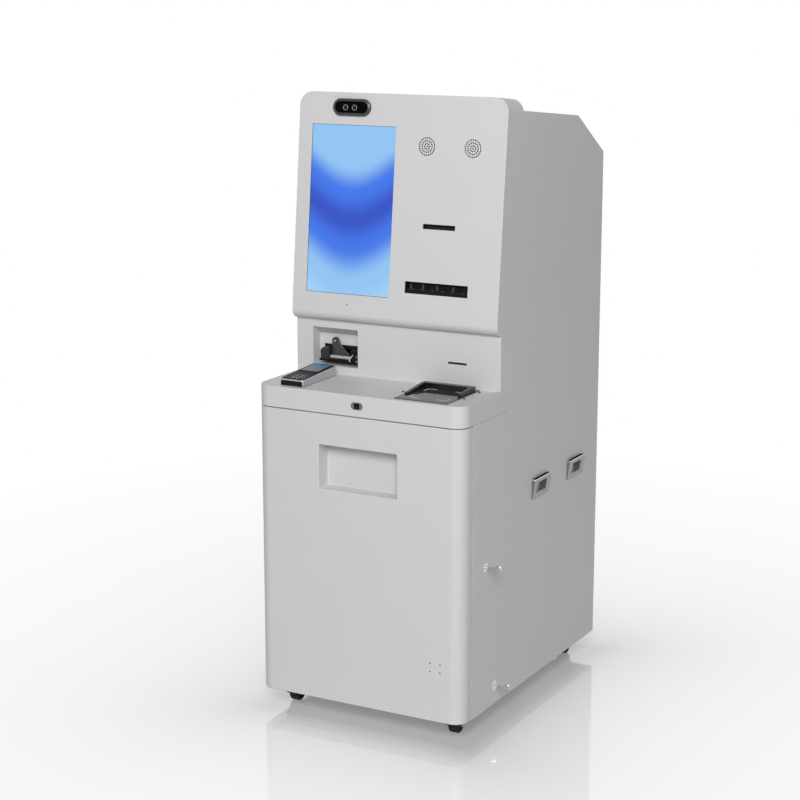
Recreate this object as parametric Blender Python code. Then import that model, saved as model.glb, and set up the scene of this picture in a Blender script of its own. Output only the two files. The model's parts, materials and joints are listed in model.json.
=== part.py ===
"""Self-service cash machine: a floor cabinet with a tilted head, a deck and a hinged front door.

The cabinet frame has X across the front (positive to the right as a user faces it), Y going back from
the door's front face and Z up from the floor. Everything is built in that frame, and one empty moves it
so that the origin lies on the floor under the middle of the whole machine. Sizes are in metres.
"""

import math

import bmesh
import bpy
from mathutils import Matrix, Vector

# Overall sizes
WIDTH = 0.655
DEPTH = 0.920
FOOT = 0.060
SHEET = 0.002
FIT = 0.0003
SEAM = 0.0008
WELD = 0.00002
PAST = 0.01
LAP = 0.001
STEP = 0.0001

# Front outline
EDGE_R = 0.040
LIP_Z = 0.903
DECK_Z = 0.963
MID_Y = 0.225
CHIN_R = 0.025
CHIN_OVERHANG = 0.026
HEAD_RISE = 0.185
HEAD_TILT = math.radians(5.5)
HEAD_LENGTH = 0.620
HEAD_DEPTH = 0.100
HEAD_CORNER_R = 0.040
TOP_DROP = 0.031
CHAMFER_RUN = 0.194
CHAMFER_DROP = 0.119
HEAD_Y = MID_Y - CHIN_OVERHANG
HEAD_Z = DECK_Z + HEAD_RISE
RIGHT = WIDTH / 2
LEFT = -WIDTH / 2
INSIDE = WIDTH / 2 - SHEET - FIT
ARC_STEPS = 6

# Front door
DOOR_FLANGE = 0.060
DOOR_GAP = 0.003
DOOR_FOOT_GAP = 0.0012
DOOR_SIDE_GAP = 0.002
DOOR_RETURN = 0.034
POCKET_SIZE = (0.248, 0.126)
POCKET_Z = 0.748
POCKET_DEPTH = 0.050
PIVOT_INSET = (0.55 * EDGE_R + 0.0005, 0.55 * EDGE_R)
DOOR_PIVOT = (LEFT + PIVOT_INSET[0], PIVOT_INSET[1])
PIN_R = 0.004
PIN_DEPTH = 0.008
HINGE_ARM = {"thick": 0.006, "width": 0.025, "inner": 0.0085, "nose": 0.006, "gap": 0.0015, "under": 0.060}
DOOR_HOLES = {"x": (RIGHT - 0.0985, RIGHT - 0.0675), "z": (0.2065, 0.230), "r": 0.0025}

# Welded frame inside the cabinet
POST = 0.025
BASE_PLATE = 0.004
BASE_FRONT = 0.070
FRONT_POST_Y = MID_Y + 0.080
RAIL_Z = 0.870
SHELF_Z = 0.600
BRACE_DROP = 0.020
REAR_Y = DEPTH - SHEET - FIT

# Rear door and its handle
REAR_OPENING_HALF = RIGHT - 0.056
REAR_BOTTOM = FOOT + 0.100
REAR_FRAME_TOP = POST + 3 * SHEET + 0.005
REAR_GAP = 0.003
REAR_PAN = 0.015
REAR_PIN = {"r": 0.003, "inset": (0.007, 0.006), "depth": 0.006}
REAR_TAB = {"thick": 0.003, "half": 0.008, "gap": 0.0015}
REAR_HANDLE = {"inset": 0.036, "hub": 0.013, "tip": 0.009, "arm": 0.062, "spindle": 0.006, "reach": 0.012}
LATCH = {"thick": 0.003, "half": 0.007, "gap": 0.002, "reach": 0.050, "tail": 0.008}
VENTS = {"rows": 6, "pitch": 0.020, "slot": (0.220, 0.0035), "low": 0.080, "high": 0.200}

# Locks on the right side
UPPER_LOCK = {"y": 0.140, "z": 0.482, "r": 0.011, "rose": 0.0135, "length": 0.0215}
LOWER_LOCK = {"y": 0.205, "z": 0.114, "r": 0.012, "rose": 0.0165, "length": 0.0375}
ROSE = 0.0025
KEY_REACH = 0.050
KEY_SHANK = (0.002, 0.008)
KEY_BOW = {"r": 0.011, "thick": 0.0022, "hole": 0.0025, "shift": 0.004}
PLUG_R = 0.005
BLADE = {"thick": 0.003, "length": 0.030, "width": 0.012}
BLADE_GAP = 0.0005
CATCH = {"sheet": 0.0025, "rise": 0.013, "height": 0.020, "behind": 0.001, "beside": 0.006, "tab": 0.009}

# Lift handles
LIFT_Y = (0.53913 * DEPTH, DEPTH - 0.175)
LIFT_Z = 0.634
LIFT_SIZE = (0.112, 0.060)
LIFT_STAND_OUT = 0.012
LIFT_FOOT = 0.003
LIFT_CUP = (0.064, 0.034, 0.018)
LIFT_WALL = 0.003
LIFT_EDGE = 0.004

# Casters
CASTER_X = RIGHT - PIVOT_INSET[0] - 0.043
CASTER_Y = (0.125, DEPTH - 0.054)
CASTER_TRAIL = 0.027
WHEEL_R = 0.025
WHEEL_WIDTH = 0.028
AXLE_R = 0.004
KINGPIN_R = 0.006
RACE_R = 0.026
FORK = {"wall": 0.003, "side_gap": 0.001, "over": 0.0025}
CHEEK = {"foot": 0.008, "drop": 0.009, "behind": 0.014, "before": 0.016}
PEDAL = {"reach": 0.036, "low": 0.008, "thick": 0.008, "length": 0.007}

# Head: across from the left or right edge, and s up the slope from the head's lower edge
SCREEN = {"low": (LEFT + 0.044, 0.0542), "size": (0.270, 0.476)}
SCREEN_LAP = 0.006
GLASS = 0.003
DISPLAY_DEPTH = 0.045
CAMERA = {"x": LEFT + 0.1725, "s": HEAD_LENGTH - 0.041, "size": (0.120, 0.048), "proud": 0.010}
CAMERA_NECK = {"size": (0.096, 0.024), "depth": 0.030, "gap": 0.001}
CAMERA_RIM = {"width": 0.008, "depth": 0.002}
SPEAKER_X = (RIGHT - 0.242, RIGHT - 0.101)
SPEAKER_S = 0.480
SPEAKER_R = 0.033
SPEAKER = {"basket": 0.018, "magnet": 0.015, "magnet_share": 0.6}
SLOT_X = RIGHT - 0.193
RECEIPT = {"s": 0.261, "size": (0.100, 0.014)}
NOTE = {"s": 0.0894, "size": (0.196, 0.033)}
MIC = {"x": LEFT + 0.1795, "s": 0.025, "r": 0.002}
PRINTER = {"side": 0.012, "height": 0.070, "back": 0.070, "mouth": 0.024, "mouth_gap": 0.0015}
ROLL_R = 0.040
ROLL_WIDTH = 0.080
ROLL_GAP = 0.008
CRADLE = {"gap": 0.001, "wall": 0.003, "half": 0.012, "past": 0.010}
SPINDLE_R = 0.005
OUTLET = {"wall": 0.006, "depth": 0.090, "mouth": 0.080}
FLAP = {"depth": 0.026, "drop": 0.004, "thick": 0.003, "tube": 0.003, "gap": 0.0006}

# Middle panel and deck
NICHE = {"low": (LEFT + 0.054, 0.9855), "size": (0.148, 0.111), "depth": 0.040, "ceiling_drop": 0.023}
FEEDER_WINDOW = {"left": 0.0155, "right": 0.003, "low": 0.002, "high": 0.056}
FEEDER = {"depth": 0.050, "throat": (0.022, 0.012, 0.018, 0.046), "throat_depth": 0.036}
TRAY = {"low": 0.0115, "high": 0.017, "reach": 0.033}
FEEDER_BLOCK = {"x": 0.0335, "z": 0.037, "r": 0.014, "front": 0.028, "back": 0.004}
FEEDER_CHEEK = {"width": 0.027, "high": 0.048, "front": 0.030}
FEED_ROLLER = {"depth": 0.0225, "z": 0.0235, "r": 0.0055, "pin": 0.002, "gap": 0.0005}
PADDLE = {"x": 0.0595, "depth": 0.012, "thick": 0.007, "left": 0.0115, "right": 0.0445}
PADDLE_CROWN = {"z": 0.069, "r": 0.0115}
PADDLE_HINGE = {"z": 0.0205, "r": 0.003}
CARD = {"x": RIGHT - 0.134, "z": 1.031, "size": (0.058, 0.0065)}
READER = {"half": (0.044, 0.027), "depth": 0.100, "mouth": 0.080, "gap": (0.001, 0.0008)}
SCANNER = {"x": RIGHT - 0.140, "y": 0.118, "size": (0.165, 0.200)}
SCANNER_BODY = {"lap": 0.008, "plate": 0.002, "height": 0.052}
HOOD = {"front": 0.044, "rear": 0.077, "inset": 0.003, "arm": 0.014, "bridge": 0.022}
HOOD_SIDE = {"height": 0.0145, "lip": 0.004, "edge": 0.003, "flat": 0.030}
SENSOR = {"z": (LIP_Z + DECK_Z) / 2, "size": (0.037, 0.021), "proud": 0.002}
SENSOR_NECK = {"size": (0.024, 0.013), "depth": 0.016, "gap": 0.0005}
TERMINAL = {"x": LEFT + 0.108, "y": 0.016, "size": (0.075, 0.182), "front": 0.021, "rear": 0.031}
TERMINAL_NOSE = (0.006, 0.005)
KEY_SIZE = (0.013, 0.009, 0.003)
KEY_PITCH = (0.0185, 0.0125)
KEY_FIRST = 0.013
KEY_TRAVEL = 0.001
KEY_GAP = 0.0004

# Modules in the cabinet
DISPENSER = {"shift": 0.060, "half": 0.150, "y": (0.130, 0.620), "below_shelf": 0.040}
CASSETTE = {"count": 4, "y": (0.118, 0.131), "inset": 0.015, "foot": 0.020, "gap": 0.008}
NOTE_LIFT = {"inset": 0.008, "depth": 0.060, "chute": (0.090, 0.0915), "drop": 0.010}
COMPUTER = {"left": 0.045, "right": 0.020, "front": 0.075, "rear": 0.090, "height": 0.120}
INLET = {"x": 0.100, "z": FOOT + 0.050, "plate": (0.060, 0.068), "body": (0.053, 0.061), "depth": 0.035}
INLET_GAP = 0.0005
SOCKET = {"half": 0.012, "low": 0.024, "high": 0.007, "depth": 0.018}
SWITCH = {"half": (0.0115, 0.0065), "rise": 0.015, "depth": 0.0035}
ROCKER = {"back": 0.004, "front": 0.0045, "waist": 0.0025}
SWITCH_WELL = {"half": (0.012, 0.0085), "depth": 0.012}
SWITCH_TILT = math.radians(8)

HEAD_FRAME = Matrix.Translation((0, HEAD_Y, HEAD_Z)) @ Matrix.Rotation(-HEAD_TILT, 4, "X")


# ---------------------------------------------------------------- helpers


def clear_scene():
    """Remove whatever the file holds."""
    for item in list(bpy.data.objects):
        bpy.data.objects.remove(item)


def material(name, colour, roughness, metallic=0.0):
    """A Principled material, made once and shared by name."""
    found = bpy.data.materials.get(name)
    if found:
        return found
    made = bpy.data.materials.new(name)
    made.use_nodes = True
    shader = made.node_tree.nodes["Principled BSDF"]
    shader.inputs["Base Color"].default_value = (*colour, 1)
    shader.inputs["Roughness"].default_value = roughness
    shader.inputs["Metallic"].default_value = metallic
    made.diffuse_color = (*colour, 1)
    return made


def solid_from(bm):
    """Turn a bmesh into an object whose faces point outwards."""
    bmesh.ops.recalc_face_normals(bm, faces=bm.faces)
    mesh = bpy.data.meshes.new("solid")
    bm.to_mesh(mesh)
    bm.free()
    made = bpy.data.objects.new("solid", mesh)
    bpy.context.scene.collection.objects.link(made)
    return made


def box(low, high):
    """An upright box between two corners."""
    bm = bmesh.new()
    size = [b - a for a, b in zip(low, high)]
    middle = [(a + b) / 2 for a, b in zip(low, high)]
    bmesh.ops.create_cube(bm, size=1.0, matrix=Matrix.Translation(middle) @ Matrix.Diagonal((*size, 1)))
    return solid_from(bm)


def prism(outline, axis, start, end):
    """An outline carried along an axis: (y, z) points along X, (x, z) along Y and (x, y) along Z."""
    places = {
        "X": lambda a, b, along: (along, a, b),
        "Y": lambda a, b, along: (a, along, b),
        "Z": lambda a, b, along: (a, b, along),
    }
    place = places[axis]
    bm = bmesh.new()
    rings = [[bm.verts.new(place(a, b, along)) for a, b in outline] for along in (start, end)]
    bm.faces.new(rings[0])
    bm.faces.new(rings[1])
    count = len(outline)
    for i in range(count):
        j = (i + 1) % count
        bm.faces.new((rings[0][i], rings[0][j], rings[1][j], rings[1][i]))
    return solid_from(bm)


def arc(centre, radius, first, last, steps=ARC_STEPS):
    """Points on an arc between two angles in degrees, both ends included."""
    points = []
    for i in range(steps + 1):
        angle = math.radians(first + (last - first) * i / steps)
        points.append((centre[0] + radius * math.cos(angle), centre[1] + radius * math.sin(angle)))
    return points


def rod(centre, radius, axis, start, end, sides=16):
    """A round bar along an axis, its corners on the radius."""
    return prism(arc(centre, radius, 0, 360 - 360 / sides, sides - 1), axis, start, end)


def tread(centre, radius, axis, start, end, sides):
    """A round bar whose flats are on the radius and whose lowest one is level, so it can stand on it."""
    half = 180 / sides
    outline = arc(centre, radius / math.cos(math.radians(half)), half, 360 - half, sides - 1)
    return prism(outline, axis, start, end)


def pill(centre, size, axis, start, end):
    """A bar whose section is a rectangle with half-round ends."""
    radius = size[1] / 2
    reach = size[0] / 2 - radius
    outline = arc((centre[0] + reach, centre[1]), radius, -90, 90, 2 * ARC_STEPS)
    outline += arc((centre[0] - reach, centre[1]), radius, 90, 270, 2 * ARC_STEPS)
    return prism(outline, axis, start, end)


def slab(low, size, start, end):
    """A box from its (x, z) corner and size, between two depths; in the head z is s up its slope."""
    return box((low[0], start, low[1]), (low[0] + size[0], end, low[1] + size[1]))


def level(low, size, start, end):
    """A box from its (x, y) corner and size, between two heights."""
    return box((low[0], low[1], start), (low[0] + size[0], low[1] + size[1], end))


def widened(size, by):
    """A size with the same margin added on every side."""
    return [v + 2 * by for v in size]


def centred(x, z, size):
    """Lower corner of a rectangle from its middle."""
    return (x - size[0] / 2, z - size[1] / 2)


def moved(item, matrix):
    """Place a solid by changing its mesh, so every solid stays in the cabinet frame."""
    item.data.transform(matrix)
    return item


def in_head(item):
    """Place a solid that was built in the head's frame (x, depth behind the face, s)."""
    return moved(item, HEAD_FRAME)


def combine(target, tools, operation):
    """Apply Booleans one after another and remove the tools."""
    for tool in tools:
        step = target.modifiers.new(operation, "BOOLEAN")
        step.operation = operation
        step.solver = "EXACT"
        step.object = tool
    graph = bpy.context.evaluated_depsgraph_get()
    result = bpy.data.meshes.new_from_object(target.evaluated_get(graph))
    bm = bmesh.new()
    bm.from_mesh(result)
    bmesh.ops.remove_doubles(bm, verts=bm.verts, dist=WELD)
    bm.to_mesh(result)
    bm.free()
    target.modifiers.clear()
    target.data = result
    for tool in tools:
        bpy.data.objects.remove(tool)
    return target


def joined(first, *others):
    """One solid from several that touch."""
    return combine(first, others, "UNION")


def cut(target, *cutters):
    """A solid with cutters taken away."""
    return combine(target, cutters, "DIFFERENCE")


def finish(item, name, surface, origin=None):
    """Name a solid, give it its material and put its origin on its joint's axis."""
    item.name = name
    item.data.name = name
    item.data.materials.clear()
    item.data.materials.append(surface)
    if origin:
        item.data.transform(Matrix.Translation(-Vector(origin)))
        item.location = origin
    item.data.shade_smooth()
    item.data.set_sharp_from_angle(angle=math.radians(30))
    return item


def head_point(depth, s):
    """(y, z) of a point behind the head's face and up its slope."""
    y = HEAD_Y + depth * math.cos(HEAD_TILT) + s * math.sin(HEAD_TILT)
    z = HEAD_Z - depth * math.sin(HEAD_TILT) + s * math.cos(HEAD_TILT)
    return (y, z)


def seam_y(z, behind=0.0):
    """Depth of the side seam, parallel to the head's face, at a height."""
    depth = HEAD_DEPTH + behind
    s = (z - HEAD_Z + depth * math.sin(HEAD_TILT)) / math.cos(HEAD_TILT)
    return head_point(depth, s)[0]


# ---------------------------------------------------------------- finishes

PAINT = material("light_grey_paint", (0.60, 0.60, 0.61), 0.40)
DARK_PAINT = material("frame_paint", (0.10, 0.10, 0.11), 0.50)
STEEL = material("bright_steel", (0.62, 0.62, 0.64), 0.28, 1.0)
BLACK = material("black_plastic", (0.015, 0.015, 0.017), 0.42)
GREY_PLASTIC = material("grey_plastic", (0.22, 0.22, 0.23), 0.45)
SILVER_PLASTIC = material("silver_plastic", (0.42, 0.43, 0.44), 0.38)
RUBBER = material("wheel_rubber", (0.02, 0.02, 0.02), 0.75)
GLASS_BLACK = material("display_glass", (0.02, 0.06, 0.20), 0.08)
PAPER = material("paper", (0.82, 0.82, 0.80), 0.85)


# ---------------------------------------------------------------- outer cabinet


def shell_outline(inset, reach):
    """Side view of the head, middle panel and deck lip; reach carries it past the open back and foot."""
    centre = head_point(CHIN_R, 0)
    tilt = math.degrees(HEAD_TILT)
    low = LIP_Z - reach
    outline = [(inset, low), (inset, DECK_Z - inset), (MID_Y + inset, DECK_Z - inset)]
    outline.append((MID_Y + inset, centre[1] - CHIN_R + inset))
    outline += arc(centre, CHIN_R - inset, 270, 180 - tilt)
    outline.append(head_point(inset, HEAD_LENGTH - inset))
    if inset:
        strip = HEAD_LENGTH - TOP_DROP - SHEET - SEAM
        outline.append(head_point(HEAD_DEPTH - inset, HEAD_LENGTH - inset))
        outline.append(head_point(HEAD_DEPTH - inset, strip))
        outline.append(head_point(HEAD_DEPTH + reach, strip))
    else:
        outline.append(head_point(HEAD_DEPTH, HEAD_LENGTH))
    outline.append((seam_y(low, reach), low))
    return outline


def corner_waste(side, centre, radius, past):
    """Outline of what a rounded corner leaves away; side is +1 or -1 and past is up or forward."""
    x, v = centre
    turn = arc((x, v), radius, 0, 90 * past)
    turn = [(x + side * (a - x), b) for a, b in turn]
    outer = radius + 2 * PAST
    return turn + [(x, v + past * outer), (x + side * outer, v + past * outer), (x + side * outer, v)]


def shell_body(inset, reach):
    """Solid front shell with its two lip corners and two head corners rounded."""
    body = prism(shell_outline(inset, reach), "X", LEFT + inset, RIGHT - inset)
    waste = []
    for side in (-1, 1):
        lip = (side * (RIGHT - EDGE_R), EDGE_R)
        waste.append(prism(corner_waste(side, lip, EDGE_R - inset, -1), "Z", LIP_Z - 3 * PAST, DECK_Z + PAST))
        top = (side * (RIGHT - HEAD_CORNER_R), HEAD_LENGTH - HEAD_CORNER_R)
        corner = prism(corner_waste(side, top, HEAD_CORNER_R - inset, 1), "Y", -PAST, HEAD_DEPTH + 5 * PAST)
        waste.append(in_head(corner))
    return cut(body, *waste)


def front_shell():
    """Head, middle panel and deck in one folded sheet with every opening cut through."""
    shell = cut(shell_body(0, 0), shell_body(SHEET, 2 * PAST))
    through = (-PAST, SHEET + PAST / 2)
    camera_hole = widened(CAMERA_NECK["size"], CAMERA_NECK["gap"])
    sensor_hole = widened(SENSOR_NECK["size"], SENSOR_NECK["gap"])
    deck_hole = widened(SCANNER["size"], -SCANNER_BODY["lap"])
    cutters = [
        in_head(slab(SCREEN["low"], SCREEN["size"], *through)),
        in_head(slab(centred(CAMERA["x"], CAMERA["s"], camera_hole), camera_hole, *through)),
        in_head(slab(centred(SLOT_X, RECEIPT["s"], RECEIPT["size"]), RECEIPT["size"], *through)),
        in_head(slab(centred(SLOT_X, NOTE["s"], NOTE["size"]), NOTE["size"], *through)),
        in_head(rod((MIC["x"], MIC["s"]), MIC["r"], "Y", *through, sides=8)),
        slab(NICHE["low"], NICHE["size"], MID_Y - PAST, MID_Y + SHEET + LAP),
        slab(centred(CARD["x"], CARD["z"], CARD["size"]), CARD["size"], MID_Y - PAST, MID_Y + SHEET + LAP),
        slab(centred(0, SENSOR["z"], sensor_hole), sensor_hole, -PAST, PAST),
        level(centred(SCANNER["x"], SCANNER["y"], deck_hole), deck_hole, DECK_Z - PAST, DECK_Z + PAST),
    ]
    finish(cut(shell, *cutters), "front_shell", PAINT)


def side_outline():
    """Side view of a side panel, cut back under the deck lip and along the seam."""
    low = LIP_Z - SEAM
    top = rear_path()
    return [
        (DOOR_FLANGE + DOOR_SIDE_GAP / 2, FOOT),
        (DEPTH, FOOT),
        top[2],
        top[1],
        top[0],
        (seam_y(low, SEAM), low),
        (DOOR_FLANGE + DOOR_SIDE_GAP / 2, low),
    ]


def rear_path():
    """Outer line of the top: the seam, the top's rear edge, the chamfer's foot and the rear's foot."""
    start = head_point(HEAD_DEPTH + SEAM, HEAD_LENGTH - TOP_DROP)
    run = DEPTH - CHAMFER_RUN - start[0]
    ridge = (DEPTH - CHAMFER_RUN, start[1] - run * math.tan(HEAD_TILT))
    return [start, ridge, (DEPTH, ridge[1] - CHAMFER_DROP), (DEPTH, FOOT)]


def inner_path(path, distance):
    """The same path moved in by a sheet's thickness, each corner on both moved lines."""
    lines = []
    for a, b in zip(path, path[1:]):
        along = Vector((b[0] - a[0], b[1] - a[1])).normalized()
        inward = Vector((along[1], -along[0])) * distance
        lines.append((Vector(a) + inward, along))
    points = [lines[0][0]]
    for (p, d), (q, e) in zip(lines, lines[1:]):
        step = (q - p).cross(e) / d.cross(e)
        points.append(p + d * step)
    end = lines[-1][0] + lines[-1][1] * (Vector(path[-1]) - Vector(path[-2])).length
    points.append(end)
    return [tuple(p) for p in points]


def cup_half(clearance):
    """Half sizes of a lift handle's cup from outside, for the cup and for its hole."""
    return [v / 2 + LIFT_WALL + clearance for v in LIFT_CUP[:2]]


def side_panel(side, name):
    """A flat side sheet with holes for two lift handles and, on the right, two locks."""
    inner = side * (RIGHT - SHEET)
    panel = prism(side_outline(), "X", min(inner, side * RIGHT), max(inner, side * RIGHT))
    half = cup_half(FIT)
    cutters = []
    span = sorted((side * (RIGHT - PAST), side * (RIGHT + PAST)))
    for y in LIFT_Y:
        low = (span[0], y - half[0], LIFT_Z - half[1])
        cutters.append(box(low, (span[1], y + half[0], LIFT_Z + half[1])))
    if side > 0:
        for lock in (UPPER_LOCK, LOWER_LOCK):
            cutters.append(rod((lock["y"], lock["z"]), lock["r"] + FIT, "X", *span))
    finish(cut(panel, *cutters), name, PAINT)


def rear_tabs():
    """Two tabs behind the rear sheet, each with the pin that the rear door turns on."""
    x, y = rear_pivot()
    half = REAR_TAB["half"]
    solids = []
    for z, step in ((REAR_BOTTOM, -1), (rear_top(), 1)):
        near = z + step * REAR_TAB["gap"]
        plate = sorted((near, near + step * REAR_TAB["thick"]))
        pin = sorted((z - step * (REAR_GAP + REAR_PIN["depth"]), near + step * REAR_TAB["thick"] / 2))
        solids.append(box((x - half, y - half, plate[0]), (x + half, DEPTH - SHEET / 2, plate[1])))
        solids.append(rod((x, y), REAR_PIN["r"], "Z", *pin, sides=12))
    return solids


def rear_pivot():
    """Where the rear door turns, near its right edge."""
    across, behind = REAR_PIN["inset"]
    return (REAR_OPENING_HALF - REAR_GAP - across, DEPTH - behind)


def rear_top():
    """Upper edge of the rear door's opening, under the chamfer."""
    return rear_path()[2][1] - REAR_FRAME_TOP


def rear_cover():
    """Top, chamfer and rear frame in one folded sheet between the side panels."""
    path = rear_path()
    cover = prism(path + inner_path(path, SHEET)[::-1], "X", -INSIDE, INSIDE)
    opening = box(
        (-REAR_OPENING_HALF, DEPTH - PAST, REAR_BOTTOM),
        (REAR_OPENING_HALF, DEPTH + PAST, rear_top()),
    )
    hole = widened(INLET["body"], INLET_GAP)
    inlet_hole = slab(centred(INLET["x"], INLET["z"], hole), hole, DEPTH - PAST, DEPTH + PAST)
    cover = cut(cover, opening, inlet_hole)
    finish(joined(cover, *rear_tabs()), "rear_cover", PAINT)


def rear_door():
    """A shallow pan with two rows of vent slots, pin holes and the handle's hole."""
    half = REAR_OPENING_HALF - REAR_GAP
    low, high = REAR_BOTTOM + REAR_GAP, rear_top() - REAR_GAP
    pan = box((-half, DEPTH - REAR_PAN, low), (half, DEPTH, high))
    hollow = box(
        (-half + SHEET, DEPTH - REAR_PAN - PAST, low + SHEET),
        (half - SHEET, DEPTH - SHEET, high - SHEET),
    )
    cutters = [hollow]
    width, height = VENTS["slot"]
    for base in (low + VENTS["low"], high - VENTS["high"]):
        for row in range(VENTS["rows"]):
            corner = (-width / 2, base + row * VENTS["pitch"])
            cutters.append(slab(corner, (width, height), DEPTH - PAST, DEPTH + PAST))
    for z in (low, high):
        cutters.append(rod(rear_pivot(), REAR_PIN["r"] + FIT, "Z", z - PAST, z + PAST, sides=12))
    cutters.append(rod(rear_handle_place(), REAR_HANDLE["spindle"] + FIT, "Y", DEPTH - PAST, DEPTH + PAST))
    finish(cut(pan, *cutters), "rear_door", PAINT, (*rear_pivot(), low))


def rear_handle_place():
    """(x, z) of the rear door's handle, near its left edge."""
    return (-REAR_OPENING_HALF + REAR_HANDLE["inset"], (REAR_BOTTOM + rear_top()) / 2)


def rear_handle():
    """A lever outside, a spindle through the door and a latch blade behind it."""
    x, z = rear_handle_place()
    foot = (x, z - REAR_HANDLE["arm"])
    outline = arc((x, z), REAR_HANDLE["hub"], 0, 180, 2 * ARC_STEPS)
    outline += arc(foot, REAR_HANDLE["tip"], 180, 360, 2 * ARC_STEPS)
    lever = prism(outline, "Y", DEPTH + FIT, DEPTH + REAR_HANDLE["reach"])
    back = DEPTH - REAR_PAN - LATCH["gap"]
    front = back - LATCH["thick"]
    spindle = rod((x, z), REAR_HANDLE["spindle"], "Y", front, DEPTH + 2 * LAP)
    half = LATCH["half"]
    blade = box((x - half, front, z - LATCH["reach"]), (x + half, back, z + LATCH["tail"]))
    finish(joined(lever, spindle, blade), "rear_door_handle", BLACK, (x, DEPTH, z))


# ---------------------------------------------------------------- front door


def door_outline(inset, back):
    """Plan of the door: flat front, two rounded corners and straight side flanges."""
    radius = EDGE_R - inset
    right = (RIGHT - EDGE_R, EDGE_R)
    left = (LEFT + EDGE_R, EDGE_R)
    return (
        [(LEFT + inset, back)]
        + arc(left, radius, 180, 270)
        + arc(right, radius, 270, 360)
        + [(RIGHT - inset, back)]
    )


def catch_plates(lock, flange_inner):
    """A bent arm behind the door's return flange, for one lock's blade to turn in front of."""
    sheet = CATCH["sheet"]
    arm_x = RIGHT - lock["length"] - BLADE["thick"] - CATCH["beside"]
    low = lock["z"] + CATCH["rise"]
    high = low + CATCH["height"]
    back = lock["y"] + BLADE["width"] / 2 + CATCH["behind"]
    y = DOOR_FLANGE - DOOR_SIDE_GAP / 2
    arm = box((arm_x - sheet, y - LAP, low), (arm_x, back + sheet, high))
    tab_end = arm_x + BLADE["thick"] + CATCH["tab"] - LAP
    tab = box((arm_x - LAP - sheet, back, low), (tab_end, back + sheet, high))
    gusset = box(
        (arm_x + LAP / 2 - sheet, y - SHEET + FIT, low + FIT),
        (flange_inner + 2 * SHEET, y - FIT, high - FIT),
    )
    return [arm, tab, gusset]


def front_door():
    """A deep pan with return flanges, a recessed pocket, catch arms and pin holes."""
    low, high = door_span()
    back = DOOR_FLANGE - DOOR_SIDE_GAP / 2
    door = prism(door_outline(0, back), "Z", low, high)
    hollow = prism(door_outline(SHEET, back - SHEET), "Z", low + SHEET, high - SHEET)
    edge = RIGHT - DOOR_RETURN
    mouth = box((-edge, back - PAST, low + DOOR_RETURN), (edge, back + PAST, high - DOOR_RETURN))
    door = cut(door, hollow, mouth)
    outer = widened(POCKET_SIZE, SHEET)
    walls = slab(centred(0, POCKET_Z, outer), outer, SHEET / 2, POCKET_DEPTH + SHEET)
    arms = catch_plates(UPPER_LOCK, edge) + catch_plates(LOWER_LOCK, edge)
    door = joined(door, walls, *arms)
    cutters = [slab(centred(0, POCKET_Z, POCKET_SIZE), POCKET_SIZE, -PAST, POCKET_DEPTH)]
    for z in (low, high):
        cutters.append(rod(DOOR_PIVOT, PIN_R + FIT, "Z", z - PAST, z + PAST, sides=12))
    for x in DOOR_HOLES["x"]:
        for z in DOOR_HOLES["z"]:
            cutters.append(rod((x, z), DOOR_HOLES["r"], "Y", -PAST, PAST, sides=8))
    finish(cut(door, *cutters), "front_door", PAINT, (*DOOR_PIVOT, low))


def door_span():
    """Heights of the front door's foot and top."""
    return FOOT + DOOR_FOOT_GAP, LIP_Z - DOOR_GAP


def door_hinge(name, plate_low, pin_low, pin_high):
    """A flat arm from the frame to the door's pivot, with the pin on it."""
    x, y = DOOR_PIVOT
    reach = FRONT_POST_Y - FIT if plate_low > LIP_Z else BASE_FRONT + HINGE_ARM["under"]
    left = x - HINGE_ARM["inner"]
    arm = box(
        (left, y - HINGE_ARM["nose"], plate_low),
        (left + HINGE_ARM["width"], reach, plate_low + HINGE_ARM["thick"]),
    )
    pin = rod((x, y), PIN_R, "Z", pin_low, pin_high, sides=12)
    finish(joined(arm, pin), name, STEEL)


def door_hinges():
    """The upper arm lies under the deck and the lower one under the base plate."""
    door_low, door_high = door_span()
    upper = LIP_Z + HINGE_ARM["gap"]
    lower = FOOT - FIT - HINGE_ARM["thick"]
    door_hinge("upper_door_hinge", upper, door_high - PIN_DEPTH, upper + LAP)
    door_hinge("lower_door_hinge", lower, lower + LAP, door_low + PIN_DEPTH)


# ---------------------------------------------------------------- locks and lift handles


def lock_and_key(name, lock):
    """A flanged barrel in the side panel, and the key, plug and blade that turn in it."""
    y, z = centre = (lock["y"], lock["z"])
    inner = RIGHT - lock["length"]
    barrel = rod(centre, lock["r"], "X", inner, RIGHT + FIT + LAP)
    flange = rod(centre, lock["rose"], "X", RIGHT + FIT, RIGHT + ROSE)
    bore = rod(centre, PLUG_R + FIT, "X", inner - PAST, RIGHT + PAST, sides=12)
    finish(cut(joined(barrel, flange), bore), name + "_lock", STEEL)
    blade_x = inner - BLADE_GAP
    plug = rod(centre, PLUG_R, "X", blade_x - LAP, RIGHT + ROSE + LAP / 2, sides=12)
    half = BLADE["width"] / 2
    blade = box((blade_x - BLADE["thick"], y - BLADE["length"], z - half), (blade_x, y + half, z + half))
    bow_x = RIGHT + KEY_REACH - KEY_BOW["r"]
    thin, tall = (v / 2 for v in KEY_SHANK)
    shank = box((RIGHT + LAP, y - thin, z - tall), (bow_x - KEY_BOW["r"] / 2, y + thin, z + tall))
    side = KEY_BOW["thick"] / 2
    bow = prism(arc((bow_x, z), KEY_BOW["r"], 0, 330, 11), "Y", y - side, y + side)
    hole = rod((bow_x + KEY_BOW["shift"], z), KEY_BOW["hole"], "Y", y - PAST, y + PAST, sides=8)
    key = cut(joined(plug, blade, shank, bow), hole)
    finish(key, name + "_key", STEEL, (RIGHT, y, z))


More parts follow.
